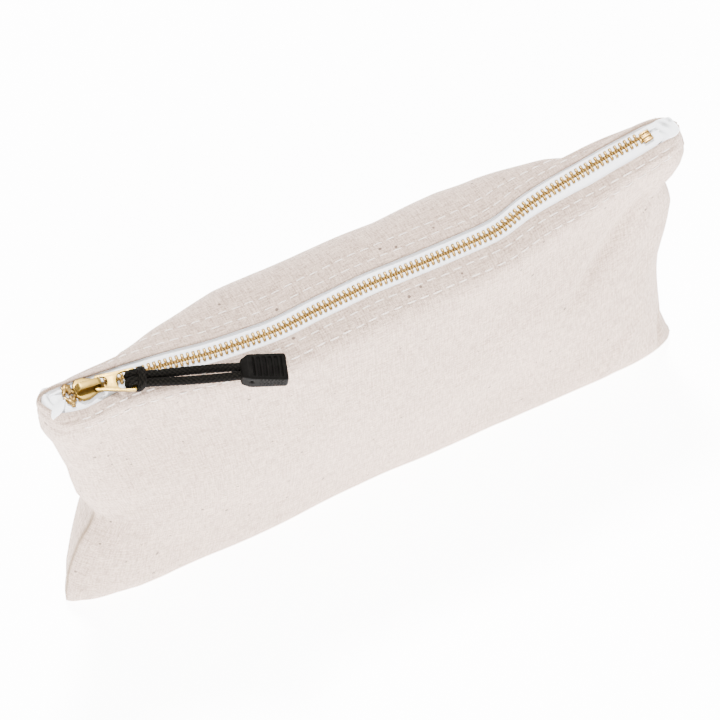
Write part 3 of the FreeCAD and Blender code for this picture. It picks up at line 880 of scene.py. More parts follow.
@dataclass(frozen=True)
class Pouch:
    """Sizes of the plumped pouch that its two panels share, in millimetres."""

    length: float = 318.0
    front_depth: float = 25.0
    back_depth: float = 43.0
    hem_edge: float = 6.5
    hem_band: float = 5.0
    band_drop: float = 1.5
    hem_top: float = 1.65
    canvas: float = 1.2
    left_tuck: float = 15.0
    right_tuck: float = 5.0
    left_inset: float = 9.0
    right_inset: float = 1.0
    foot_pull: float = 6.0
    base_cut: float = 1.5
    front_drop_share: float = 0.17
    back_drop_share: float = 0.05
    bend_share: float = 0.26
    shoulder_share: float = 0.95
    belly_share: float = 1.07
    belly_height_share: float = 0.5
    flank_share: float = 1.04
    flank_height_share: float = 0.22
    foot_height_share: float = 0.035
    base_share: float = 0.62
    end_powers: tuple[Pair, ...] = ((40, 0.5), (6, 1), (2.6, 1.15), (5, 0.7), (12, 0.6))
    shares: Places = (-1, -0.99, -0.96, -0.88, -0.72, -0.5, -0.25, 0,
                      0.25, 0.5, 0.72, 0.88, 0.96, 0.99, 1)

    def poles(self, side: int) -> np.ndarray:
        """Poles of a panel's skin.

        Args:
            side: Minus one for the front, one for the back, zero for the seam between them.

        Returns:
            Places in millimetres, columns along the pouch by rows down it by three.
        """
        depth = self.front_depth if side < 0 else self.back_depth
        drop = (self.front_drop_share if side < 0 else self.back_drop_share) * RUN.end_height
        half = self.length / 2
        columns = []
        for share in self.shares:
            tuck = self.left_tuck if share < 0 else self.right_tuck
            inset = self.left_inset if share < 0 else self.right_inset
            rim, brow, upper, middle, lower = (
                (1 - abs(share) ** power) ** root for power, root in self.end_powers)
            foot_y = RUN.seam_y - self.foot_pull * (1 - lower)
            edge = self.hem_edge * rim
            cuff = edge + 2 * self.canvas * rim
            bend = cuff + (self.bend_share * depth + self.hem_band) * upper
            shoulder = max(cuff, self.shoulder_share * depth * upper * (1 - RUN.bow / depth / 2))
            fall = self.band_drop
            top = RUN.points(share * half, side * np.array([edge, edge + self.hem_band * brow, bend, 0]),
                             np.array([self.hem_top, self.hem_top - fall * (1 - brow),
                                       self.hem_top - fall * (2 - brow), 0]))
            ridge = top[3]
            rows = [top[0], top[1], top[2]]
            rows.append((share * (half - tuck / 3),
                         ridge[1] * upper + RUN.seam_y * (1 - upper) + side * shoulder, ridge[2] - drop))
            rows.append((share * (half - (inset + tuck) / 2 - tuck / 2),
                         RUN.seam_y + side * self.belly_share * depth * middle,
                         self.belly_height_share * RUN.end_height))
            rows.append((share * (half - inset - tuck / 2),
                         RUN.seam_y + side * self.flank_share * depth * (middle + lower) / 2,
                         self.flank_height_share * RUN.end_height))
            foot = ((1.0, self.foot_height_share * RUN.end_height), (self.base_share, -self.base_cut),
                    (0, -self.base_cut))
            for out_share, height in foot:
                rows.append((share * (half - inset), foot_y + side * out_share * depth * lower, height))
            columns.append(rows)
        return np.array(columns, float)


POUCH = Pouch()


@dataclass(frozen=True)
class Fold:
    """Soft fold of the canvas between two flat places, in millimetres."""

    start: Pair
    end: Pair
    width: float
    depth: float
    least_share: float = 0.35
    end_share: float = 0.05

    def at(self, along: np.ndarray, down: np.ndarray) -> np.ndarray:
        """Depth of the fold.

        Args:
            along: Flat places along the panel.
            down: Flat places down the panel.

        Returns:
            Depth under the plain skin at each place.
        """
        (x0, d0), (x1, d1) = self.start, self.end
        reach = ((along - x0) * (x1 - x0) + (down - d0) * (d1 - d0)) / ((x1 - x0) ** 2 + (d1 - d0) ** 2)
        reach = np.clip(reach, 0, 1)
        off = np.hypot(along - x0 - reach * (x1 - x0), down - d0 - reach * (d1 - d0))
        swell = np.sin(math.pi * np.clip(reach, self.end_share, 1 - self.end_share))
        return self.depth * hill(off, 0, self.width) * (self.least_share + (1 - self.least_share) * swell)


@dataclass
class CanvasPanel:
    """One canvas panel with its folded hem, two rows of stitches and soft folds, in millimetres."""

    side: Side
    columns: int = 250
    end_columns: int = 24
    end_share: float = 0.06
    hem_rows: int = 41
    hem_share: float = 0.2
    body_rows: int = 84
    level_share: float = 0.35
    cloth: float = 0.5
    floor_gap: float = 0.05
    shut_gap: float = 0.6
    shut_ends: float = 90
    shut_foot: float = 6

    end_heights: Places = (0, 4, 8, 20, 30, 42, 52, 60, 72, 83, 98, 107, 118, 128, 134, 140, 147, 155, 163)
    left_places: Places = (-155.8, -155.8, -155.3, -153.2, -150, -145.6, -140, -136.8, -141, -144.5, -146.8,
                           -147.6, -150, -152, -153.3, -155.6, -157.6, -158, -158)
    right_places: Places = (161, 160.4, 158.8, 155.6, 155.4, 154.6, 154, 153.7, 153.7, 155, 157.5,
                            158.2, 155.6, 151.2, 157.8, 160.8, 162, 160.5, 159)
    end_reach: float = 24.0
    droop: float = 5.0
    droop_x: Ramp = Ramp(138, 20)
    droop_shares: Ramp = Ramp(0.45, -0.45)
    left_slim_share: float = 0.7
    left_slim_x: Ramp = Ramp(-116, -30)
    left_slim_z: Ramp = Ramp(58, -46)
    left_back: float = 4.0
    left_back_x: Ramp = Ramp(-124, -26)
    left_back_z: Ramp = Ramp(50, -50)

    pull_in: float = 6.5
    pull_in_out: float = 8.0
    pull_in_z: Ramp = Ramp(95, -80)
    pull_in_places: Places = (-160, -135, -105, 60, 125, 160)
    pull_in_shares: Places = (0, 0.6, 1, 1, 0.55, 0)
    slim_places: Places = (-150, -125, -103, -80, -60, -40, -20, 20, 52, 71, 100, 112, 130, 150)
    slim_depths: Places = (2, 4.5, 2.6, 0, -1.7, -1.1, 0.2, 1.2, -1.4, -1.0, 1.2, 4.0, 5.0, 2.5)
    slim_out: Ramp = Ramp(8.5, 6)
    slim_z: Ramp = Ramp(60, 50)

    right_x: Ramp = Ramp(70, 40)
    right_front: float = 2.4
    right_hem: float = 0.6
    right_below: float = 3.6
    right_down: Ramp = Ramp(1, 8)
    left_hem: float = 4.0
    left_hem_x: Ramp = Ramp(-120, -20)
    left_hem_end: Ramp = Ramp(-158.5, 6)
    steep_right: Ramp = Ramp(90, 50)
    steep_right_end: Ramp = Ramp(160, -8)
    steep_left: Ramp = Ramp(-112, -30)
    steep_left_end: Ramp = Ramp(-159, 8)
    steep_left_share: float = 0.75
    steep_forward: float = 3.0
    steep_forward_down: Ramp = Ramp(1, 6)
    steep_drop: float = 3.5
    steep_drop_down: Ramp = Ramp(0, 5)
    steep_reach: float = 40.0
    hem_reach: float = 34.0

    front_seed: int = 11
    back_seed: int = 23
    calm_ends: float = 22
    calm_top: float = 14.0
    swells: tuple[Places, ...] = ((0.9, 46, 38, 9.3, 3.1), (0.35, 19, 17, 2.7, 8.2))
    folds: tuple[Fold, ...] = (
        Fold((132, 33), (100, 68), 6.5, 3.0), Fold((150, 44), (134, 92), 6.0, 1.5),
        Fold((-150, 98), (-108, 84), 8.0, 1.4), Fold((-128, 118), (-96, 150), 9.0, 1.2),
        Fold((140, 118), (118, 150), 6.0, -1.2))
    ear: tuple[Pair, Pair] = ((151.0, 137.0), (141.5, 170.0))
    ear_start: Ramp = Ramp(133, 6)
    ear_groove: float = 1.1
    ear_groove_place: float = 0.6
    ear_groove_width: float = 1.2
    ear_groove_top: Ramp = Ramp(136, 6)
    ear_groove_foot: Ramp = Ramp(162, -10)
    sewn_groove: float = 0.28
    sewn_width: float = 0.75
    pucker: float = 0.22
    pucker_middle: float = 6.0
    pucker_width: float = 4.5
    pucker_beat: float = 1.03
    pucker_length: float = 30.0
    pucker_start: float = 5.0

    hem_roll: float = 0.85
    hem_inside: Pair = (5.0, 1.0)
    hem_angles: Places = (180, 150, 120, 90, 60, 30)
    hem_turn: float = 8.0
    # Painted shade in the creases, kept in the seam mark: end seams, dog-ear and back hem fold.
    seam_shade_width: float = 1.1
    seam_shade_z: Ramp = Ramp(66, -8)
    ear_shade_share: float = 0.3
    ear_shade: Ramp = Ramp(0, 0.8)
    hem_shade_share: float = 0.8
    hem_shade_place: float = -1.5
    hem_shade_width: float = 0.5

    thread: float = 0.68
    stitch_rows: Pair = (3.6, 9.8)
    stitch_pitch: float = 6.2
    stitch_length_share: float = 0.7
    stitch_ends: Pair = (-143.0, 146.0)
    stitch_jitter: float = 0.12
    stitch_seed: int = 5
    stitch_lift: float = 0.04
    turn_inset: float = 0.6
    turn_places: Pair = (1.5, 1.8)
    turn_gap: float = 0.4
    turn_points: int = 3
    stitch_sides: int = 6
    stitch_shares: tuple[Spot, ...] = ((-0.5, -0.42, 0.45), (-0.42, -0.05, 0.85), (-0.2, 0.16, 1),
                                       (0.2, 0.16, 1), (0.42, -0.05, 0.85), (0.5, -0.42, 0.45))

    def plain(self) -> tuple[np.ndarray, np.ndarray, np.ndarray, np.ndarray]:
        """Skin of the plumped pouch, before its ends and its depth are shaped.

        Returns:
            Shares along and down the panel, places in millimetres, and how far out they stand.
        """
        side = self.side.value
        far_share = 1 - self.end_share
        u = np.concatenate([np.linspace(0, self.end_share, self.end_columns)[:-1],
                            np.linspace(self.end_share, far_share, self.columns - 2 * self.end_columns),
                            np.linspace(far_share, 1, self.end_columns)[1:]])
        v = np.concatenate([np.linspace(0, self.hem_share, self.hem_rows)[:-1],
                            np.linspace(self.hem_share, 1, self.body_rows)])
        poles = POUCH.poles(side)
        weights_u, weights_v = clamped_basis(poles.shape[0], u), clamped_basis(poles.shape[1], v)
        skin = np.einsum("ui,vj,ijk->uvk", weights_u, weights_v, poles)
        seam = np.einsum("ui,vj,ij->uv", weights_u, weights_v, POUCH.poles(0)[..., 1])
        shut = (np.minimum(1, np.minimum(u, 1 - u) * self.shut_ends)[:, None]
                * np.minimum(1, self.shut_foot * (1 - v))[None, :])
        out = np.maximum(side * (skin[..., 1] - seam), self.shut_gap * shut)
        if self.side is Side.BACK:
            out = out * (1 - self.left_slim_share * self.left_slim_x.at(skin[..., 0])
                         * self.left_slim_z.at(skin[..., 2]))
        skin[..., 1] = seam + side * out
        skin[..., 2] = np.maximum(skin[..., 2], self.floor_gap)
        return u, v, skin, out

    def shape_ends(self, skin: np.ndarray, v: np.ndarray) -> None:
        """Bring both ends to the photo's outline, in place.

        Args:
            skin: Places of the panel's skin.
            v: Shares down the panel, one to a row.
        """
        skin[..., 2] -= self.droop * (self.droop_x.at(skin[..., 0]) ** 2 * self.droop_shares.at(v)[None, :])
        for column, places in ((0, self.left_places), (-1, self.right_places)):
            rim = skin[column].copy()
            step = np.interp(rim[:, 2], self.end_heights, places) - rim[:, 0]
            skin[..., 0] += step[None, :] * hill(skin[..., 0], rim[None, :, 0], self.end_reach)
        skin[..., 1] += self.left_back * self.left_back_x.at(skin[..., 0]) * self.left_back_z.at(skin[..., 2])

    def shape_depth(self, skin: np.ndarray, out: np.ndarray) -> None:
        """Pull the front's foot in, or slim the back's upper part, in place.

        Args:
            skin: Places of the panel's skin.
            out: How far out they stood at first.
        """
        if self.side is Side.FRONT:
            low = self.pull_in_z.at(skin[..., 2])
            inward = self.pull_in * np.interp(skin[..., 0], self.pull_in_places, self.pull_in_shares)
            skin[..., 1] += inward * eased(low) * np.minimum(1, out / self.pull_in_out)
        else:
            high = self.slim_out.at(out) * self.slim_z.at(skin[..., 2])
            skin[..., 1] -= np.interp(skin[..., 0], self.slim_places, self.slim_depths) * high

    def lay_hem(self, skin: np.ndarray, down: np.ndarray) -> None:
        """Lay the upper part of the panel along the waves of the chain, in place.

        Args:
            skin: Places of the panel's skin.
            down: Distance of each place from the hem.
        """
        x = skin[..., 0]
        forward = RUN.wave(x)
        if self.side is Side.BACK:
            forward += self.right_x.at(x) * (self.right_hem + self.right_below * self.right_down.at(down))
            steep = self.steep_right.at(x) ** 2 * self.steep_right_end.at(x)
            steep += self.steep_left_share * self.steep_left.at(x) * self.steep_left_end.at(x)
            forward += self.steep_forward * steep * self.steep_forward_down.at(down)
            skin[..., 2] -= (self.steep_drop * steep * self.steep_drop_down.at(down)
                             * hill(down, 0, self.steep_reach))
        else:
            forward += self.right_front * self.right_x.at(x)
            forward += self.left_hem * self.left_hem_x.at(x) * self.left_hem_end.at(x)
        skin[..., 1] -= forward * hill(down, 0, self.hem_reach)

    def net(self) -> tuple[np.ndarray, np.ndarray, np.ndarray]:
        """Corners of the panel's outer skin.

        Returns:
            Places in millimetres, their flat places, and the outward directions.
        """
        u, v, skin, out = self.plain()
        self.shape_ends(skin, v)
        self.shape_depth(skin, out)
        steps = np.linalg.norm(np.diff(skin, axis=1), axis=2)
        down = np.concatenate([np.zeros((len(u), 1)), np.cumsum(steps, axis=1)], axis=1)
        level = skin[:, np.searchsorted(v, self.level_share)]
        far = np.concatenate([[0], np.cumsum(np.linalg.norm(np.diff(level, axis=0), axis=1))])
        along = np.repeat((far - np.interp(0, level[:, 0], far))[:, None], len(v), axis=1)
        self.lay_hem(skin, down)
        normal = np.cross(np.gradient(skin, axis=0), np.gradient(skin, axis=1)) * self.side.value
        normal /= np.maximum(np.linalg.norm(normal, axis=2, keepdims=True), TINY)
        skin += normal * self.relief(along, down, u)[..., None]
        skin[..., 2] = np.maximum(skin[..., 2], self.floor_gap)
        return skin, np.stack([along, down], -1), normal

    def relief(self, along: np.ndarray, down: np.ndarray, u: np.ndarray) -> np.ndarray:
        """Folds, puckers and sewn grooves.

        Args:
            along: Flat places along the panel.
            down: Flat places down the panel.
            u: Shares along the panel, one to a column.

        Returns:
            Height over the plain skin in millimetres.
        """
        seed = self.front_seed if self.side is Side.FRONT else self.back_seed
        calm = np.minimum(1, np.minimum(u, 1 - u) * self.calm_ends)[:, None]
        calm = calm * np.minimum(1, down / self.calm_top)
        height = np.zeros_like(down)
        for number, (high, long, wide, first, second) in enumerate(self.swells):
            height += high * soft_noise(along / long + first, down / wide + second, seed + number)
        height *= calm
        if self.side is Side.FRONT:
            for fold in self.folds:
                height -= fold.at(along, down)
            crease = hill(self.past_ear(along, down), self.ear_groove_place, self.ear_groove_width)
            height -= self.ear_groove * crease * self.ear_groove_top.at(down) * self.ear_groove_foot.at(down)
        pull = np.zeros_like(down)
        for row in self.stitch_rows:
            pull += hill(down, row, self.sewn_width)
        height -= self.sewn_groove * pull
        wave = soft_noise(along / self.stitch_pitch * self.pucker_beat,
                          down / self.pucker_length + self.pucker_start, seed + len(self.swells))
        height += self.pucker * wave * hill(down, self.pucker_middle, self.pucker_width)
        return height

    def past_ear(self, along: np.ndarray, down: np.ndarray) -> np.ndarray:
        """Distance beyond the crease of the dog-ear at the lower right.

        Args:
            along: Flat places along the panel.
            down: Flat places down the panel.

        Returns:
            Distance in millimetres, zero above the dog-ear.
        """
        (x0, d0), (x1, d1) = self.ear
        past = ((along - x0) * (d1 - d0) - (down - d0) * (x1 - x0)) / math.hypot(x1 - x0, d1 - d0)
        return past * self.ear_start.at(down)

    def hem(self, skin: np.ndarray, normal: np.ndarray) -> tuple[list[np.ndarray], list[float]]:
        """Hem of the panel, rolled over and turned in under the skin.

        Args:
            skin: Places of the panel's skin.
            normal: Their outward directions.

        Returns:
            Rows of places from the inner edge outwards, and their flat places.
        """
        out = normal[:, 0]
        tangent = skin[:, 1] - skin[:, 0]
        tangent /= np.linalg.norm(tangent, axis=1, keepdims=True)
        centre = skin[:, 0] - out * self.hem_roll
        rows = [centre - out * self.hem_roll + tangent * length for length in self.hem_inside]
        lengths = [-self.hem_roll * math.pi - length for length in self.hem_inside]
        for degrees in self.hem_angles:
            a = math.radians(degrees)
            rows.append(centre + (out * math.cos(a) - tangent * math.sin(a)) * self.hem_roll)
            lengths.append(-self.hem_roll * a)
        return rows, lengths

    def build(self, finishes: Finishes) -> list[Piece]:
        """Make the panel and its stitches.

        Args:
            finishes: Materials of the bag.

        Returns:
            The panel and its thread.
        """
        label = self.side.name.lower()
        skin, flat, normal = self.net()
        rows, lengths = self.hem(skin, normal)
        points = np.concatenate([np.stack(rows, 1), skin], axis=1)
        edge = np.stack([np.stack([flat[:, 0, 0], np.full(len(flat), length)], -1) for length in lengths], 1)
        panel = Bench.sheet(f"{label}_canvas_panel", points, np.concatenate([edge, flat], axis=1))
        self.paint_crease_shade(panel)
        if self.side is Side.FRONT:
            panel.data.flip_normals()
        Bench.thicken(panel, self.cloth)
        dress(panel, finishes.canvas, Body.BAG, Slot.CANVAS, f"{label}_panel")
        return [panel, self.stitches(skin, flat, normal, finishes)]

    def paint_crease_shade(self, panel: Piece) -> None:
        """Mark painted shade in the creases: along the end seams, on the front's dog-ear and at the fold of
        the back hem.

        Args:
            panel: The panel before it gets its thickness.
        """
        mesh = panel.data
        flat = np.zeros(len(mesh.loops) * 2)
        mesh.uv_layers[0].data.foreach_get("uv", flat)
        corners = np.zeros(len(mesh.loops), dtype=np.int32)
        mesh.loops.foreach_get("vertex_index", corners)
        places = np.zeros(len(mesh.vertices) * 3)
        mesh.vertices.foreach_get("co", places)
        along, down = np.zeros(len(mesh.vertices)), np.zeros(len(mesh.vertices))
        along[corners], down[corners] = flat[0::2], flat[1::2]
        edge = np.minimum(along - along.min(), along.max() - along) / MM
        # Painted shade along the end seams, only on their lower part.
        depth = hill(edge, 0, self.seam_shade_width) * self.seam_shade_z.at(places[2::3] / MM)
        if self.side is Side.FRONT:
            depth *= along < 0
            # Painted shade on the dog-ear past its crease.
            shade = self.ear_shade_share * self.ear_shade.at(self.past_ear(along / MM, down / MM))
        else:
            # Painted shadow line along the fold of the back hem, beside the tape.
            shade = self.hem_shade_share * hill(down / MM, self.hem_shade_place, self.hem_shade_width)
        depth = np.maximum(depth, shade)
        mesh.attributes.new("seam", "FLOAT", "POINT").data.foreach_set("value", depth)

    def stitches(self, skin: np.ndarray, flat: np.ndarray, normal: np.ndarray,
                 finishes: Finishes) -> Piece:
        """Sew the rows beside the hem, joined by a turn at the right end.

        Args:
            skin: Places of the panel's skin.
            flat: Their flat places.
            normal: Their outward directions.
            finishes: Materials of the bag.

        Returns:
            The thread as one piece.
        """
        label = self.side.name.lower()
        draw = np.random.default_rng(self.stitch_seed + self.side.value)
        start, end = np.interp(self.stitch_ends, np.maximum.accumulate(skin[:, 0, 0]), flat[:, 0, 0])
        path = []
        for row, way in zip(self.stitch_rows, (1, -1)):
            for x in np.arange(start, end, self.stitch_pitch)[::way]:
                jitter = draw.normal(0, self.stitch_jitter, 3)
                far = x + self.stitch_pitch * self.stitch_length_share + jitter[1]
                path.append((x + jitter[0], far, row + jitter[2], row + jitter[2]))
        turn = np.linspace(self.stitch_rows[0] + self.turn_inset, self.stitch_rows[1] - self.turn_inset,
                           self.turn_points)
        for a, b in zip(turn, turn[1:]):
            path.append((end + self.turn_places[0], end + self.turn_places[1], a, b - self.turn_gap))
        places = []
        for x0, x1, down0, down1 in path:
            a, up_a = self.on_skin(skin, flat, normal, x0, down0)
            b, up_b = self.on_skin(skin, flat, normal, x1, down1)
            run = Vector(b - a)
            up = Vector(up_a + up_b).normalized()
            across = up.cross(run).normalized()
            up = run.cross(across).normalized()
            made = Matrix((run, across, up)).transposed().to_4x4() @ Matrix.Scale(MM, 4)
            made.translation = (Vector((a + b) / 2) + up * self.stitch_lift) * MM
            places.append(made)
        thread = Bench.stamped(f"{label}_stitching", self.stitch(), places)
        Bench.smooth(thread, Crease.THREAD)
        return dress(thread, finishes.thread, Body.BAG, Slot.TAPE)

    def stitch(self) -> Piece:
        """One stitch of unit length in metres, arched so that its ends dive into the cloth.

        Returns:
            The pattern of a stitch.
        """
        angles = np.linspace(0, 2 * math.pi, self.stitch_sides, endpoint=False)
        rings = []
        for along, height, share in self.stitch_shares:
            radius = self.thread / 2 * share
            rings.append(np.stack([np.full(self.stitch_sides, along), np.cos(angles) * radius,
                                   np.sin(angles) * radius + height * self.thread], -1))
        return Bench.loft("stitch_pattern", np.array(rings) / MM)

    @staticmethod
    def on_skin(skin: np.ndarray, flat: np.ndarray, normal: np.ndarray, x: float,
                down: float) -> tuple[np.ndarray, np.ndarray]:
        """Find a flat place on the panel.

        Args:
            skin: Places of the panel's skin.
            flat: Their flat places.
            normal: Their outward directions.
            x: Flat place along the panel.
            down: Flat place down the panel.

        Returns:
            The place in millimetres and the outward direction there.
        """
        i = int(np.clip(np.searchsorted(flat[:, 0, 0], x), 1, len(flat) - 1))
        share = (x - flat[i - 1, 0, 0]) / (flat[i, 0, 0] - flat[i - 1, 0, 0])
        found = []
        for data in (skin, normal):
            ends = [np.array([np.interp(down, flat[k, :, 1], data[k, :, axis]) for axis in range(3)])
                    for k in (i - 1, i)]
            found.append(ends[0] * (1 - share) + ends[1] * share)
        return found[0], found[1]


@dataclass(frozen=True)
class Dent:
    """Soft dent in a tape's tail: shares of the tail for place and width, millimetres for height."""

    along_share: float
    slant_share: float
    wide_share: float
    across_share: float
    long_share: float
    height: float = 1.0

    def at(self, s: np.ndarray, t: np.ndarray) -> np.ndarray:
        """Height at shares s along the tail and t across it."""
        off = (s - self.along_share - self.slant_share * t) / self.wide_share
        return self.height * np.exp(-off ** 2 - ((t - self.across_share) / self.long_share) ** 2)


@dataclass(frozen=True)
class TapeTail:
    """Ends of both tapes folded together between the hems at one end of the zipper, in millimetres."""

    end: End
    start: float
    stop: float
    first_share: float
    front_share: float
    back_share: float
    lean: float
    drop: float
    dents: tuple[Dent, ...]
    # Hollows of painted shade: here each Dent's height is a share of the shade colour, not millimetres.
    hollows: tuple[Dent, ...]
    cloth: float = 0.55
    columns: int = 34
    rows: int = 41
    half: float = 6.4
    least_half: float = 0.25
    nose_power: int = 9
    low: float = -1.1
    rise: float = 1.2
    rise_shares: Ramp = Ramp(0.5, 0.2)
    lean_shares: Ramp = Ramp(0.3, 0.5)
    drop_shares: Ramp = Ramp(0.9, 0.1)
    crumple: float = 0.3
    crumple_sizes: Pair = (2.6, 2.9)
    crumple_start: Pair = (4, 7)
    crumple_seed: int = 51

    def build(self, finishes: Finishes) -> Piece:
        """Make the tail.

        Args:
            finishes: Materials of the bag.

        Returns:
            The new piece.
        """
        s = np.linspace(self.first_share, 1, self.columns)[:, None]
        t = np.linspace(-1, 1, self.rows)[None, :]
        x = self.start + (self.stop - self.start) * s + 0 * t
        half = self.half * (1 - s ** self.nose_power) ** 0.5 + self.least_half
        y = half * t * np.where(t < 0, self.front_share, self.back_share)
        crumple = soft_noise(x / self.crumple_sizes[0] + self.crumple_start[0],
                             y / self.crumple_sizes[1] + self.crumple_start[1],
                             self.crumple_seed + self.end.value)
        z = self.low + self.rise_shares.at(s) * (self.rise + self.crumple * crumple)
        for dent in self.dents:
            z = z + dent.at(s, t)
        y = y - self.lean * self.lean_shares.at(s)
        z = z - self.drop * self.drop_shares.at(s) ** 2
        points = RUN.points(self.end.value * x, y - RUN.wave(self.end.value * x), z)
        obj = Bench.sheet(f"{self.end.name.lower()}_tape_tail", points, np.stack([x, y], -1))
        self.mark_hollows(obj, s, t)
        if self.end is End.LEFT:
            obj.data.flip_normals()
        Bench.thicken(obj, self.cloth)
        return dress(obj, finishes.tape, Body.BAG, Slot.TAPE)

    def mark_hollows(self, obj: Piece, s: np.ndarray, t: np.ndarray) -> None:
        """Mark the hollows between the folds, where little light reaches the cloth.

        Args:
            obj: The tail.
            s: Shares along it, one to a column.
            t: Shares across it, one to a row.
        """
        depth = np.zeros((len(s), t.shape[1]))
        for hollow_shade in self.hollows:
            depth += hollow_shade.at(s, t)
        obj.data.attributes.new("hollow_shade", "FLOAT", "POINT").data.foreach_set("value", depth.T.ravel())


TAILS = (
    TapeTail(End.LEFT, start=137.0, stop=156.2, first_share=0.0, front_share=1.45, back_share=1.0,
             lean=0.0, drop=2.5,
             dents=(Dent(0.84, 0, 0.1, 0, math.inf, 1.2), Dent(0.72, 0, 0.07, 0.1, 0.45, -1.7)),
             hollows=(Dent(0.76, 0.1, 0.035, 0.1, 0.45),)),
    TapeTail(End.RIGHT, start=134.0, stop=158.6, first_share=0.3, front_share=0.85, back_share=0.8,
             lean=2.4, drop=6.0,
             dents=(Dent(0.8, 0, 0.16, 0.2, 0.7, 1.1), Dent(0.76, -0.1, 0.04, 0.25, 0.5, -1.5),
                    Dent(0.9, -0.05, 0.03, 0.5, 0.4, -1.2)),
             hollows=(Dent(0.62, -0.12, 0.03, 0.2, 0.6), Dent(0.8, -0.1, 0.035, 0.35, 0.42),
                      Dent(0.92, -0.05, 0.025, 0.62, 0.3))))


@dataclass(frozen=True)
class TapeTongue:
    """Loose tip of the front tape, laid out over the front hem at the left end, in millimetres."""

    cloth: float = 0.55
    columns: int = 22
    rows: int = 11
    start: Spot = (-148.8, -2.4, 0.7)
    left: float = 3.4
    left_bend: float = 0.6
    forward: float = 6.9
    slant: float = 0.9
    half: float = 3.5
    taper: float = 0.4
    tip_cut_share: float = 0.4
    tip_shares: Ramp = Ramp(0.8, 0.2)
    climb: float = 2.2
    climb_power: float = 0.7
    climb_shares: Ramp = Ramp(0, 0.55)
    dip: float = 4.0
    dip_share: float = 0.86
    cup: float = 0.3

    def build(self, finishes: Finishes) -> Piece:
        """Make the tongue.

        Args:
            finishes: Materials of the bag.

        Returns:
            The new piece.
        """
        s = np.linspace(0, 1, self.columns)[:, None]
        t = np.linspace(-1, 1, self.rows)[None, :]
        half = (self.half - self.taper * s) * t * (1 - self.tip_cut_share * self.tip_shares.at(s))
        x = self.start[0] - self.left * s - self.left_bend * s * s + half
        y = self.start[1] - self.forward * s + self.slant * t
        z = (self.start[2] + self.climb * self.climb_shares.at(s) ** self.climb_power
             - self.dip * np.maximum(0, s - self.dip_share) - self.cup * t * t)
        obj = Bench.sheet("left_tape_tongue", RUN.points(x, y, z), np.stack([x, y], -1))
        Bench.thicken(obj, self.cloth, 0.0)
        return dress(obj, finishes.tape, Body.BAG, Slot.TAPE)


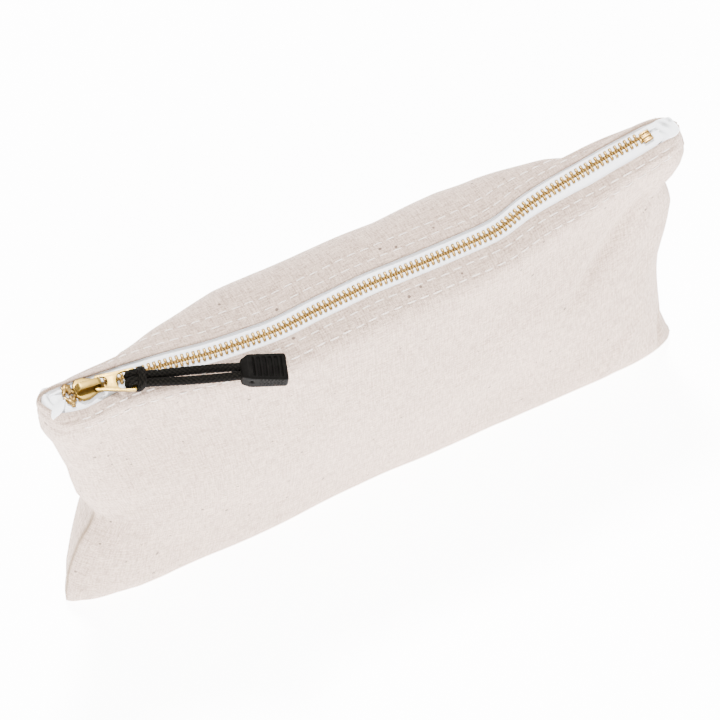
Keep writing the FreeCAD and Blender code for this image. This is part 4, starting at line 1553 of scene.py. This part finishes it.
@dataclass
class ZipperChain:
    """Tapes, teeth and stops of the zipper, in millimetres."""

    pitch: float = 2.54
    spread: float = 1.75
    slider_x: float = -134.3
    slider_length: float = 13.0
    top_stop: float = 4.5
    bottom_stop: float = 5.0
    stop_edge: float = 0.3
    nub_turn: float = 0.3
    nub_rows: tuple[tuple[Side, float, float, float], ...] = (
        (Side.FRONT, -2.1, 1.6, 1.5), (Side.FRONT, 0.2, 2.0, 1.45), (Side.FRONT, 2.0, 1.5, 1.3),
        (Side.BACK, -1.6, 1.7, 1.45), (Side.BACK, 0.7, 1.5, 1.4), (Side.BACK, 2.2, 1.3, 1.2))
    tooth_edge_share: float = 0.35
    tooth_rows: tuple[Spot, ...] = (
        (-0.75, 0.4, 0.56), (-0.62, 0.54, 0.84), (0.5, 0.58, 0.94), (0.8, 0.62, 1.06),
        (1.1, 0.66, 1.14), (2.45, 0.66, 1.12), (2.74, 0.6, 1.0), (2.85, 0.42, 0.75))

    cloth: float = 0.55
    tail: float = 6.7
    tape_columns: int = 400
    tape_across: Places = (0.75, 0.85, 1.1, 1.4, 1.65, 1.85, 2.2, 2.8, 3.6, 4.6, 5.6, 6.6, 7.8, 9.0)
    tape_lift: Places = (0.1, 0.32, 0.42, 0.36, 0.18, 0.05, 0, -0.02, -0.05, -0.08, -0.1, -0.2, -0.35, -0.5)
    sink: float = 0.8
    sink_length: float = 6.0
    stretch_share: float = 0.4
    stretch_start: float = 2.0
    stretch_x: Ramp = Ramp(-118, -18)
    front_places: Places = (-152, -140, -120, 138, 152)
    front_limits: Places = (10.4, 11.3, 9, 9, 5)
    back_places: Places = (-152, -138, -110, 80, 110, 138, 152)
    back_limits: Places = (5, 6.6, 9, 9, 7.4, 6.2, 5.2)
    limit_slope: float = 0.001
    ripple: float = 0.12
    ripple_sizes: Pair = (7, 5)
    ripple_start: float = 3.0
    ripple_seed: int = 31

    def parted(self, x: np.ndarray) -> np.ndarray:
        """Parting of the chain in and behind the slider.

        Args:
            x: Places along the run.

        Returns:
            How far each side stands away from the middle.
        """
        quarter = self.slider_length / 4
        return self.spread * np.clip((self.slider_x + quarter - x) / (2 * quarter), 0, 1)

    def build(self, finishes: Finishes) -> None:
        """Make the tapes, the rows of teeth, the tails and the stops.

        Args:
            finishes: Materials of the bag.
        """
        for side in Side:
            self.tape(side, finishes)
            self.teeth(side, finishes)
        for tail in TAILS:
            tail.build(finishes)
        TapeTongue().build(finishes)
        for node in ("front_top_stop", "back_top_stop", "bottom_stop"):
            stop = Bench.softened(f"{node}_brass", node, self.stop_edge)
            place = -RUN.half if "top" in node else RUN.half
            stop.data.transform(Matrix.Translation((0, -float(RUN.wave(np.array(place))) * MM, 0)))
            dress(stop, finishes.teeth, Body.BAG, Slot.TEETH, node)
        self.nubs(finishes)

    def nubs(self, finishes: Finishes) -> Piece:
        """Pressed nubs that stand out of the top stops.

        Args:
            finishes: Materials of the bag.

        Returns:
            The nubs as one piece.
        """
        middle = -RUN.half + self.top_stop / 2
        places = []
        for side, x, shift, size in self.nub_rows:
            made = RUN.place(middle + x, side.value * shift, self.nub_turn * side.value * x)
            made = made @ Matrix.Diagonal((size, side.value * size, size, 1))
            made.translation *= MM
            places.append(made)
        obj = Bench.stamped("top_stop_nubs", self.tooth(), places)
        Bench.smooth(obj, Crease.TOOTH)
        return dress(obj, finishes.teeth, Body.BAG, Slot.TEETH)

    def tape(self, side: Side, finishes: Finishes) -> Piece:
        """One woven tape, beaded along the teeth and tucked under the hem.

        Args:
            side: Which tape it is.
            finishes: Materials of the bag.

        Returns:
            The new piece.
        """
        end = RUN.half + self.tail
        x = np.linspace(-end, end, self.tape_columns)
        across, lift = np.array(self.tape_across), np.array(self.tape_lift)
        grid_x = np.repeat(x[:, None], len(across), axis=1)
        sink = np.interp(np.abs(x), [0, end - self.sink_length, end], [0, 0, self.sink])[:, None]
        grid_y = across[None, :] + self.parted(x)[:, None]
        if side is Side.FRONT:
            outer = np.maximum(0, across - self.stretch_start)[None, :]
            grid_y += self.stretch_share * outer * self.stretch_x.at(x)[:, None]
            limit = np.interp(x, self.front_places, self.front_limits)[:, None]
        else:
            limit = np.interp(x, self.back_places, self.back_limits)[:, None]
        grid_y = np.minimum(grid_y, limit + self.limit_slope * across[None, :])
        ripple = self.ripple * soft_noise(grid_x / self.ripple_sizes[0],
                                          grid_y / self.ripple_sizes[1] + self.ripple_start,
                                          self.ripple_seed + side.value)
        points = RUN.points(grid_x, side.value * grid_y - RUN.wave(grid_x), lift[None, :] - sink + ripple)
        flat = np.stack([grid_x, np.repeat(across[None, :], len(x), axis=0)], -1)
        obj = Bench.sheet(f"{side.name.lower()}_zipper_tape", points, flat)
        if side is Side.FRONT:
            obj.data.flip_normals()
        Bench.thicken(obj, self.cloth)
        return dress(obj, finishes.tape, Body.BAG, Slot.TAPE, f"{side.name.lower()}_tape")

    def teeth(self, side: Side, finishes: Finishes) -> Piece:
        """One row of teeth, half a pitch from the other row.

        Args:
            side: Which row it is.
            finishes: Materials of the bag.

        Returns:
            The row as one piece.
        """
        start = -RUN.half + self.top_stop + self.pitch / 2
        end = RUN.half - self.bottom_stop - self.pitch / 2
        places = []
        for index in range(int((end - start) / self.pitch) + (2 if side is Side.FRONT else 1)):
            x = start + (index + (0.5 if side is Side.BACK else 0)) * self.pitch
            ahead = RUN.wave(np.array([x - 1, x + 1]))
            made = RUN.place(x, side.value * float(self.parted(np.array(x))) - float(RUN.wave(np.array(x))),
                             math.atan2(ahead[0] - ahead[1], 2))
            if side is Side.FRONT:
                made = made @ Matrix.Scale(-1, 4, (0, 1, 0))
            made.translation *= MM
            places.append(made)
        row = Bench.stamped(f"{side.name.lower()}_teeth_row", self.tooth(), places)
        Bench.smooth(row, Crease.TOOTH)
        return dress(row, finishes.teeth, Body.BAG, Slot.TEETH, f"{side.name.lower()}_teeth")

    def tooth(self) -> Piece:
        """One tooth: low head past the middle, high jaws astride the tape.

        Returns:
            The pattern of a tooth.
        """
        rings = []
        for across, half, top in self.tooth_rows:
            edge = min(half, top) * self.tooth_edge_share
            corners = ((half, -top + edge), (half, top - edge), (half - edge, top), (-half + edge, top),
                       (-half, top - edge), (-half, -top + edge), (-half + edge, -top), (half - edge, -top))
            rings.append([(x, across, z) for x, z in corners])
        return Bench.loft("tooth_pattern", np.array(rings))


@dataclass
class BrassSlider:
    """Slider with its crown, and the pull tab that hangs in it, in millimetres."""

    edge: float = 0.28
    crown_edge: float = 0.3
    edge_steps: int = 3
    tab_edge: float = 0.32
    tab_edge_angle: float = 50.0
    tab_plate: float = 1.1
    tab_length: float = 17.0
    tab_bar: float = 1.3
    pivot_half: float = 3.6
    end_half: float = 5.9
    crown_hole: Spot = (0.65, 4.9, 2.8)
    crown_rounds: Pair = (0.8, 2.7)
    cord_hole: Spot = (8.6, 15.5, 4.4)
    cord_rounds: Pair = (4.2, 1.3)
    corner_points: int = 9

    def build(self, finishes: Finishes) -> None:
        """Make the slider's body, its crown and the tab.

        Args:
            finishes: Materials of the bag.
        """
        for node, edge in (("slider_body", self.edge), ("slider_crown", self.crown_edge)):
            piece = Bench.softened(f"{node}_brass", node, edge, self.edge_steps)
            dress(piece, finishes.slider, Body.SLIDER, Slot.SLIDER, node)
        dress(self.tab(), finishes.slider, Body.TAB, Slot.SLIDER, "pull_tab")

    def prism(self, name: str, corners: tuple[Spot, ...], half: float, place: Matrix) -> Piece:
        """Upright plate with rounded corners.

        Args:
            name: Name of the piece.
            corners: Corners of its plan in order, each with the length that its rounding takes.
            half: Half its thickness.
            place: Placement of the plan, in millimetres.

        Returns:
            The new plate.
        """
        plan = []
        for index, (x, y, cut) in enumerate(corners):
            spot = Vector((x, y))
            sides = [Vector(corners[index - 1][:2]), Vector(corners[(index + 1) % len(corners)][:2])]
            start, end = (spot + (other - spot).normalized() * cut for other in sides)
            for t in np.linspace(0, 1, self.corner_points):
                plan.append(start * (1 - t) ** 2 + spot * 2 * t * (1 - t) + end * t ** 2)
        rings = [[place @ Vector((point.x, point.y, z)) for point in plan] for z in (-half, half)]
        return Bench.loft(name, np.array(rings))

    def tab(self) -> Piece:
        """Tapered tab with an eye for the crown and a wide eye for the cord.

        Returns:
            The tab without a finish.
        """
        place = CordPull().tab_place()
        start, far, bar = -self.tab_bar / 2, self.tab_length, self.tab_bar
        obj = self.prism("pull_tab_brass", ((start, -self.pivot_half, bar), (far, -self.end_half, bar),
                                            (far, self.end_half, bar), (start, self.pivot_half, bar)),
                         self.tab_plate / 2, place)
        eyes = ((self.crown_hole, self.crown_rounds), (self.cord_hole, self.cord_rounds))
        for (near, end, half), (near_round, end_round) in eyes:
            corners = ((near, -half, near_round), (end, -half, end_round),
                       (end, half, end_round), (near, half, near_round))
            cutter = self.prism("eye_cutter", corners, self.tab_plate, place)
            Bench.change(obj, "BOOLEAN", object=cutter, operation="DIFFERENCE", solver="EXACT")
            bpy.data.objects.remove(cutter)
        Bench.change(obj, "TRIANGULATE")
        Bench.change(obj, "BEVEL", width=self.tab_edge * MM, segments=self.edge_steps, limit_method="ANGLE",
                     angle_limit=math.radians(self.tab_edge_angle), use_clamp_overlap=True)
        Bench.smooth(obj, Crease.BRASS)
        return obj


@dataclass
class CordGrip:
    """Grip moulded over the ends of the cord, in two halves parted along the strands, in millimetres."""

    place: Matrix
    start: float
    parting: float
    length: float = 20.4
    first_stations: Places = (0, 0.08, 0.3)
    last_stations: Places = (0.4, 0.2, 0.06, 0)
    middle_start: float = 0.6
    middle_end: float = 0.5
    station_step: float = 0.2
    width_places: Places = (0, 3.4, 5, 20.4)
    half_widths: Places = (4.4, 6.1, 6.35, 6.75)
    near_round: float = 0.8
    far_round: float = 1.3
    round_in: float = 1.2
    round_down: float = 0.9
    cover_places: Places = (0, 3.2, 20.4)
    cover_levels: Places = (2.6, 4.0, 2.2)
    base_level: float = 4.0
    part_gap: float = 0.06
    cover_rim: float = 0.7
    base_rim: float = 0.9
    cover_curve: float = 0.65
    base_curve: float = 0.85
    curve_angles: Places = (20, 45, 70)
    wall_points: int = 9
    top_points: int = 29
    inner_points: int = 5
    eye_depth: float = 0.9
    eye_place: float = 4.4
    eye_height: float = 0.8
    eye_spread: float = 0.5
    side_start: float = 8.0
    side_end: float = 2.0
    side_pitch: float = 1.55
    side_height: float = 0.2
    side_low_share: float = -0.3
    panel_start: float = 5.2
    panel_end: float = 2.0
    panel_inset: float = 1.7
    panel_edge: float = 0.3
    panel_side_edge: float = 0.25
    rib_start: float = 6.6
    rib_pitch: float = 2.6
    rib_height: float = 0.42
    rib_sharpness: float = 3.0

    def build(self, finishes: Finishes) -> list[Piece]:
        """Make both halves.

        Args:
            finishes: Materials of the bag.

        Returns:
            The base and the cover.
        """
        pieces = []
        for half in GripHalf:
            piece = self.moulding(half)
            pieces.append(dress(piece, finishes.grip, Body.PULL, Slot.GRIP, half.value))
        return pieces

    def moulding(self, half: GripHalf) -> Piece:
        """One half of the grip, lofted along the cords with its ribs, side ribs and eye.

        Args:
            half: Which half it is.

        Returns:
            The new piece.
        """
        x = np.concatenate([self.first_stations,
                            np.arange(self.middle_start, self.length - self.middle_end, self.station_step),
                            self.length - np.array(self.last_stations)])
        round_off = np.clip(1 - np.minimum(x / self.near_round, (self.length - x) / self.far_round), 0, 1)
        round_off = 1 - np.sqrt(1 - round_off ** 2)
        wide = np.interp(x, self.width_places, self.half_widths) - self.round_in * round_off
        rings = [self.section(half, *station) for station in zip(x, wide, self.round_down * round_off)]
        turn, shift = np.array(self.place.to_3x3()), np.array(self.place.translation)
        obj = Bench.loft(f"{half.value}_moulding", np.array(rings) @ turn.T + shift)
        Bench.smooth(obj, Crease.GRIP)
        return obj

    def section(self, half: GripHalf, place: float, wide: float, inset: float) -> np.ndarray:
        """Section across one half of the grip.

        Args:
            half: Which half it is.
            place: Place along the grip.
            wide: Half its width there.
            inset: How much its outer face is rounded down there.

        Returns:
            Places round the section, before the grip is moved to its place.
        """
        cover = half is GripHalf.COVER
        wall_shares = np.linspace(0, 1, self.wall_points)
        if cover:
            level = np.interp(place, self.cover_places, self.cover_levels) - inset
            wall = self.parting + self.part_gap + wall_shares * (level - self.cover_rim)
        else:
            level = self.base_level - inset
            wall = self.parting - self.part_gap - wall_shares * (level - self.base_rim)
        across = wide + self.side_rib(place) * np.minimum(1, 4 * np.minimum(wall_shares, 1 - wall_shares))
        from_eye = (place - self.eye_place) ** 2 + (wall - self.parting - self.eye_height) ** 2
        across -= self.eye_depth * np.exp(-from_eye / self.eye_spread)
        corner = np.radians(self.curve_angles)
        curve = self.cover_curve if cover else self.base_curve
        sign = 1 if cover else -1
        bend_y = across[-1] - curve * (1 - np.cos(corner))
        bend_z = wall[-1] + sign * curve * np.sin(corner)
        top_y = np.linspace(across[-1] - curve, curve - across[-1], self.top_points)
        top_z = np.full(self.top_points, wall[-1] + sign * curve)
        if cover:
            top_z = top_z + self.top_ribs(place, top_y, wide)
        inner = np.linspace(-wide, wide, self.inner_points + 2)[1:-1]
        ring_y = np.concatenate([across, bend_y, top_y, -bend_y[::-1], -across[::-1], inner])
        ring_z = np.concatenate([wall, bend_z, top_z, bend_z[::-1], wall[::-1],
                                 np.full(self.inner_points, wall[0])])
        return np.stack([np.full(len(ring_y), self.start + place), ring_y, ring_z], -1)

    def side_rib(self, place: float) -> float:
        """How far the side ribs stand out.

        Args:
            place: Place along the grip.

        Returns:
            Distance over the plain side, below zero between two ribs.
        """
        if not self.side_start < place < self.length - self.side_end:
            return 0.0
        beat = math.sin(2 * math.pi * (place - self.side_start) / self.side_pitch)
        return self.side_height * min(1.0, max(self.side_low_share, self.rib_sharpness * beat))

    def top_ribs(self, place: float, across: np.ndarray, wide: float) -> np.ndarray:
        """Height of the sunk panel and its cross ribs on the grip's top.

        Args:
            place: Place along the grip.
            across: Places across it.
            wide: Half its width.

        Returns:
            Height over the plain top.
        """
        inside = np.clip((wide - self.panel_inset - np.abs(across)) / self.panel_side_edge, 0, 1)
        inside = inside * min(1.0, max(0.0, (place - self.panel_start) / self.panel_edge),
                              max(0.0, (self.length - self.panel_end - place) / self.panel_edge))
        beat = math.cos(2 * math.pi * (place - self.rib_start) / self.rib_pitch)
        return inside * (self.rib_height * min(1.0, max(-1.0, self.rib_sharpness * beat)) - self.rib_height)


@dataclass
class CordPull:
    """Braided cord hitched through the tab, with its moulded grip, in millimetres."""

    cord: float = 3.6
    gap: float = 0.3
    grip_start: float = 46.0
    grip_wall: float = 1.6
    rise: float = 1.2
    yaw: float = 17.0
    lift: float = 3.0
    hitch_radius: float = 3.15
    pivot: Spot = (3.5, 0.0, 3.3)
    tab_lift: float = 8.0
    bar: float = 16.25
    carriers: int = 6
    carrier_points: int = 8
    plait: float = 2.2
    plait_rise: float = 0.38
    ring_step: float = 0.22
    tip_share: float = 0.5
    line_steps: int = 40
    along_shares: Places = (0.22, 0.45, 0.68, 0.88, 1.0)
    apart_shares: Places = (1.02, 1.24, 1.3, 1.24, 1.06)
    above_shares: Places = (0.04, 0.28, 0.62, 0.92, 1.0)
    hitch_route: tuple[Spot, ...] = (
        (4.8, 1.8, 0.2), (2.4, 1.75, 1.5), (0.2, 1.75, 2.5), (-2.1, 1.8, 1.5), (-2.3, 1.85, -1.2),
        (-0.5, 2.0, -2.4), (1.6, 2.9, -2.0), (2.7, 3.8, 0.2), (3.0, 3.3, 2.6), (3.0, 1.2, 3.6))

    def tab_place(self) -> Matrix:
        """Find the tab's placement, with its pivot at the origin.

        Returns:
            The placement in millimetres.
        """
        yaw = Matrix.Rotation(math.radians(-self.yaw), 4, "Z")
        turn = yaw @ Matrix.Rotation(math.radians(-self.tab_lift), 4, "Y")
        return RUN.place(ZipperChain().slider_x) @ Matrix.Translation(self.pivot) @ turn

    def hitch_place(self) -> Matrix:
        """Find the placement of the tab's cord bar, level with the run and turned to the front with the tab.

        Returns:
            The placement in millimetres.
        """
        made = RUN.place(ZipperChain().slider_x) @ Matrix.Rotation(math.radians(-self.yaw), 4, "Z")
        made.translation = self.tab_place() @ Vector((self.bar, 0, 0))
        return made

    def pull_place(self) -> Matrix:
        """Placement of the strands and the grip, in line with the hitch and lifted."""
        return self.hitch_place() @ Matrix.Rotation(math.radians(-self.lift), 4, "Y")

    def line(self, name: str, points: list[Vector]) -> np.ndarray:
        """Smooth line that has the route's points as its control points.

        Args:
            name: Name for the passing curve.
            points: Control points in metres.

        Returns:
            Places along the line in metres.
        """
        curve = bpy.data.curves.new(name, "CURVE")
        curve.dimensions = "3D"
        spline = curve.splines.new("NURBS")
        spline.points.add(len(points) - 1)
        for point, place in zip(spline.points, points):
            point.co = (*place, 1)
        spline.order_u = 3
        spline.use_endpoint_u = True
        spline.resolution_u = self.line_steps
        obj = bpy.data.objects.new(name, curve)
        bpy.context.scene.collection.objects.link(obj)
        bpy.context.view_layer.update()
        mesh = bpy.data.meshes.new_from_object(obj.evaluated_get(bpy.context.evaluated_depsgraph_get()))
        found = np.array([v.co for v in mesh.vertices])
        bpy.data.meshes.remove(mesh)
        bpy.data.objects.remove(obj)
        return found

    def tube(self, name: str, line: np.ndarray) -> Piece:
        """Braided tube along a line.

        Args:
            name: Name of the piece.
            line: Places along it in metres.

        Returns:
            The tube, closed at both ends.
        """
        steps = np.concatenate([[0], np.cumsum(np.linalg.norm(np.diff(line, axis=0), axis=1))])
        count = int(steps[-1] / MM / self.ring_step) + 1
        even = np.linspace(0, steps[-1], count)
        path = np.stack([np.interp(even, steps, line[:, axis]) for axis in range(3)], -1)
        ahead = np.gradient(path, axis=0)
        ahead /= np.linalg.norm(ahead, axis=1, keepdims=True)
        side = np.cross((0, 0, 1.0), ahead[0])
        angles = np.linspace(0, 2 * math.pi, self.carriers * self.carrier_points, endpoint=False)
        rings = []
        marks = []
        for place, forward, far in zip(path, ahead, even):
            side = side - forward * (side @ forward)
            side /= np.linalg.norm(side)
            up = np.cross(forward, side)
            relief = self.braid(angles, far / MM)
            radius = (self.cord / 2 + self.plait_rise * (relief - 0.5)) * MM
            ring = place + np.cos(angles)[:, None] * side * radius[:, None]
            rings.append(ring + np.sin(angles)[:, None] * up * radius[:, None])
            marks.append(relief)
        marks = [marks[0]] + marks + [marks[-1]]
        tips = [path[end] + (rings[end] - path[end]) * self.tip_share for end in (0, -1)]
        rings = [tips[0]] + rings + [tips[1]]
        obj = Bench.loft(name, np.array(rings) / MM, np.array(marks))
        Bench.smooth(obj, Crease.CORD)
        return obj

    def braid(self, angles: np.ndarray, far: float) -> np.ndarray:
        """Relief of the braid.

        Args:
            angles: Angles round the cord.
            far: Place along it in millimetres.

        Returns:
            Height of the plaits, from zero to one.
        """
        turns = angles / (2 * math.pi) * self.carriers
        left, right = turns + far / self.plait, turns - far / self.plait
        over = (np.floor(left) + np.floor(right)) % 2 < 1
        strand = np.where(over, left - np.floor(left), right - np.floor(right))
        return np.sqrt(np.clip(1 - (2 * strand - 1) ** 2, 0, 1))

    def strand(self, side: Side, finishes: Finishes) -> tuple[Piece, np.ndarray]:
        """One strand from the hitch to the grip.

        Args:
            side: Which strand it is.
            finishes: Materials of the bag.

        Returns:
            The strand and the places along it in metres.
        """
        label = side.name.lower()
        reach = side.value * (self.cord + self.gap) / 2
        route = [Vector((self.hitch_radius + self.gap, reach, 0))]
        route += [Vector((a * self.grip_start, s * reach, h * self.rise))
                  for a, s, h in zip(self.along_shares, self.apart_shares, self.above_shares)]
        route.append(Vector((self.grip_start + self.grip_wall, reach, self.rise)))
        place = self.pull_place()
        line = self.line(f"{label}_strand_line", [place @ point * MM for point in route])
        obj = self.tube(f"{label}_braided_strand", line)
        return dress(obj, finishes.cord, Body.PULL, Slot.CORD, f"{label}_cord_strand"), line

    def hitch(self, finishes: Finishes) -> Piece:
        """Cord doubled round the tab's bar, its bight drawn down over the two strands.

        Args:
            finishes: Materials of the bag.

        Returns:
            The hitch as one piece.
        """
        route = list(self.hitch_route) + [(x, -y, z) for x, y, z in reversed(self.hitch_route)]
        place = self.hitch_place()
        line = self.line("hitch_line", [place @ Vector(point) * MM for point in route])
        obj = self.tube("braided_hitch", line)
        return dress(obj, finishes.cord, Body.PULL, Slot.CORD, "cord_hitch", "cord_knot")

    def build(self, finishes: Finishes) -> None:
        """Args:
            finishes: Materials of the bag.
        """
        grip = CordGrip(self.pull_place(), self.grip_start, self.rise).build(finishes)
        hitch = self.hitch(finishes)
        for side, half in zip(Side, grip):
            obj, line = self.strand(side, finishes)
        LOG.info("%s holds both strands", hitch.name)


@dataclass(frozen=True)
class Lamp:
    """Soft square lamp, in metres and watts."""

    name: str
    place: Spot
    size: float
    power: float

    def build(self, aim: Vector) -> None:
        """Hang the lamp and turn it to its aim.

        Args:
            aim: Place that it lights.
        """
        data = bpy.data.lights.new(self.name, "AREA")
        data.size = self.size
        data.energy = self.power
        obj = bpy.data.objects.new(self.name, data)
        bpy.context.scene.collection.objects.link(obj)
        obj.location = self.place
        obj.rotation_euler = (aim - Vector(self.place)).to_track_quat("-Z", "Y").to_euler()


@dataclass
class Studio:
    """Floor, light and camera, in metres and degrees."""

    azimuth: float = -27.8
    elevation: float = 57.0
    roll: float = 0.5
    distance: float = 2.0
    lens: float = 229.3
    sensor: float = 36.0
    image: int = 720
    seam_pixel: Pair = (363.0, 263.5)
    seam: Spot = (0.0, -0.009, 0.162)
    view_end: float = 20.0
    floor_size: float = 12.0
    sky_colour: Colour = (1, 1, 1, 1)
    sky_strength: float = 1.6
    lamps: tuple[Lamp, ...] = (
        Lamp("key_lamp", (-0.9, -1.7, 1.5), 0.9, 88), Lamp("fill_lamp", (1.4, -1.0, 1.2), 1.4, 12),
        Lamp("top_lamp", (0.2, 0.75, 1.95), 0.3, 118))

    def camera(self) -> Piece:
        """Set the camera at the photograph's angle, with the zipper's middle at its place in the picture.

        Returns:
            The camera.
        """
        a, e = math.radians(self.azimuth), math.radians(self.elevation)
        back = Vector((math.sin(a) * math.cos(e), -math.cos(a) * math.cos(e), math.sin(e)))
        right = Vector((math.cos(a), math.sin(a), 0))
        up = back.cross(right)
        tilt = Matrix.Rotation(-math.radians(self.roll), 3, back)
        right, up = tilt @ right, tilt @ up
        step = self.sensor * self.distance / self.lens / self.image
        aim = (Vector(self.seam) - right * (self.seam_pixel[0] - self.image / 2) * step
               + up * (self.seam_pixel[1] - self.image / 2) * step)
        data = bpy.data.cameras.new("photo_camera")
        data.lens = self.lens
        data.sensor_width = self.sensor
        data.clip_end = self.view_end
        obj = bpy.data.objects.new("photo_camera", data)
        bpy.context.scene.collection.objects.link(obj)
        turn = Matrix((right, up, back)).transposed().to_4x4()
        turn.translation = aim + back * self.distance
        obj.matrix_world = turn
        bpy.context.scene.camera = obj
        return obj

    def build(self, finishes: Finishes) -> None:
        """Make the floor, the lamps, the sky and the camera.

        Args:
            finishes: Materials of the bag and its floor.
        """
        bpy.ops.object.select_all(action="DESELECT")
        bpy.ops.mesh.primitive_plane_add(size=self.floor_size)
        floor = Bench.name(bpy.context.active_object, "studio_floor")
        floor.data.materials.append(finishes.floor)
        for lamp in self.lamps:
            lamp.build(Vector(self.seam))
        sky = bpy.data.worlds.new("studio_sky")
        sky.use_nodes = True
        background = sky.node_tree.nodes["Background"]
        background.inputs["Color"].default_value = self.sky_colour
        background.inputs["Strength"].default_value = self.sky_strength
        bpy.context.scene.world = sky
        self.camera()


def main() -> None:
    """Build the bag's looks in order."""
    logging.basicConfig(level=logging.INFO, format="%(name)s: %(message)s")
    finishes = Finishes()
    Studio().build(finishes)
    CordPull().build(finishes)
    for side in Side:
        CanvasPanel(side).build(finishes)
    ZipperChain().build(finishes)
    BrassSlider().build(finishes)
    LOG.info("boxes written")


if __name__ == "__main__":
    main()
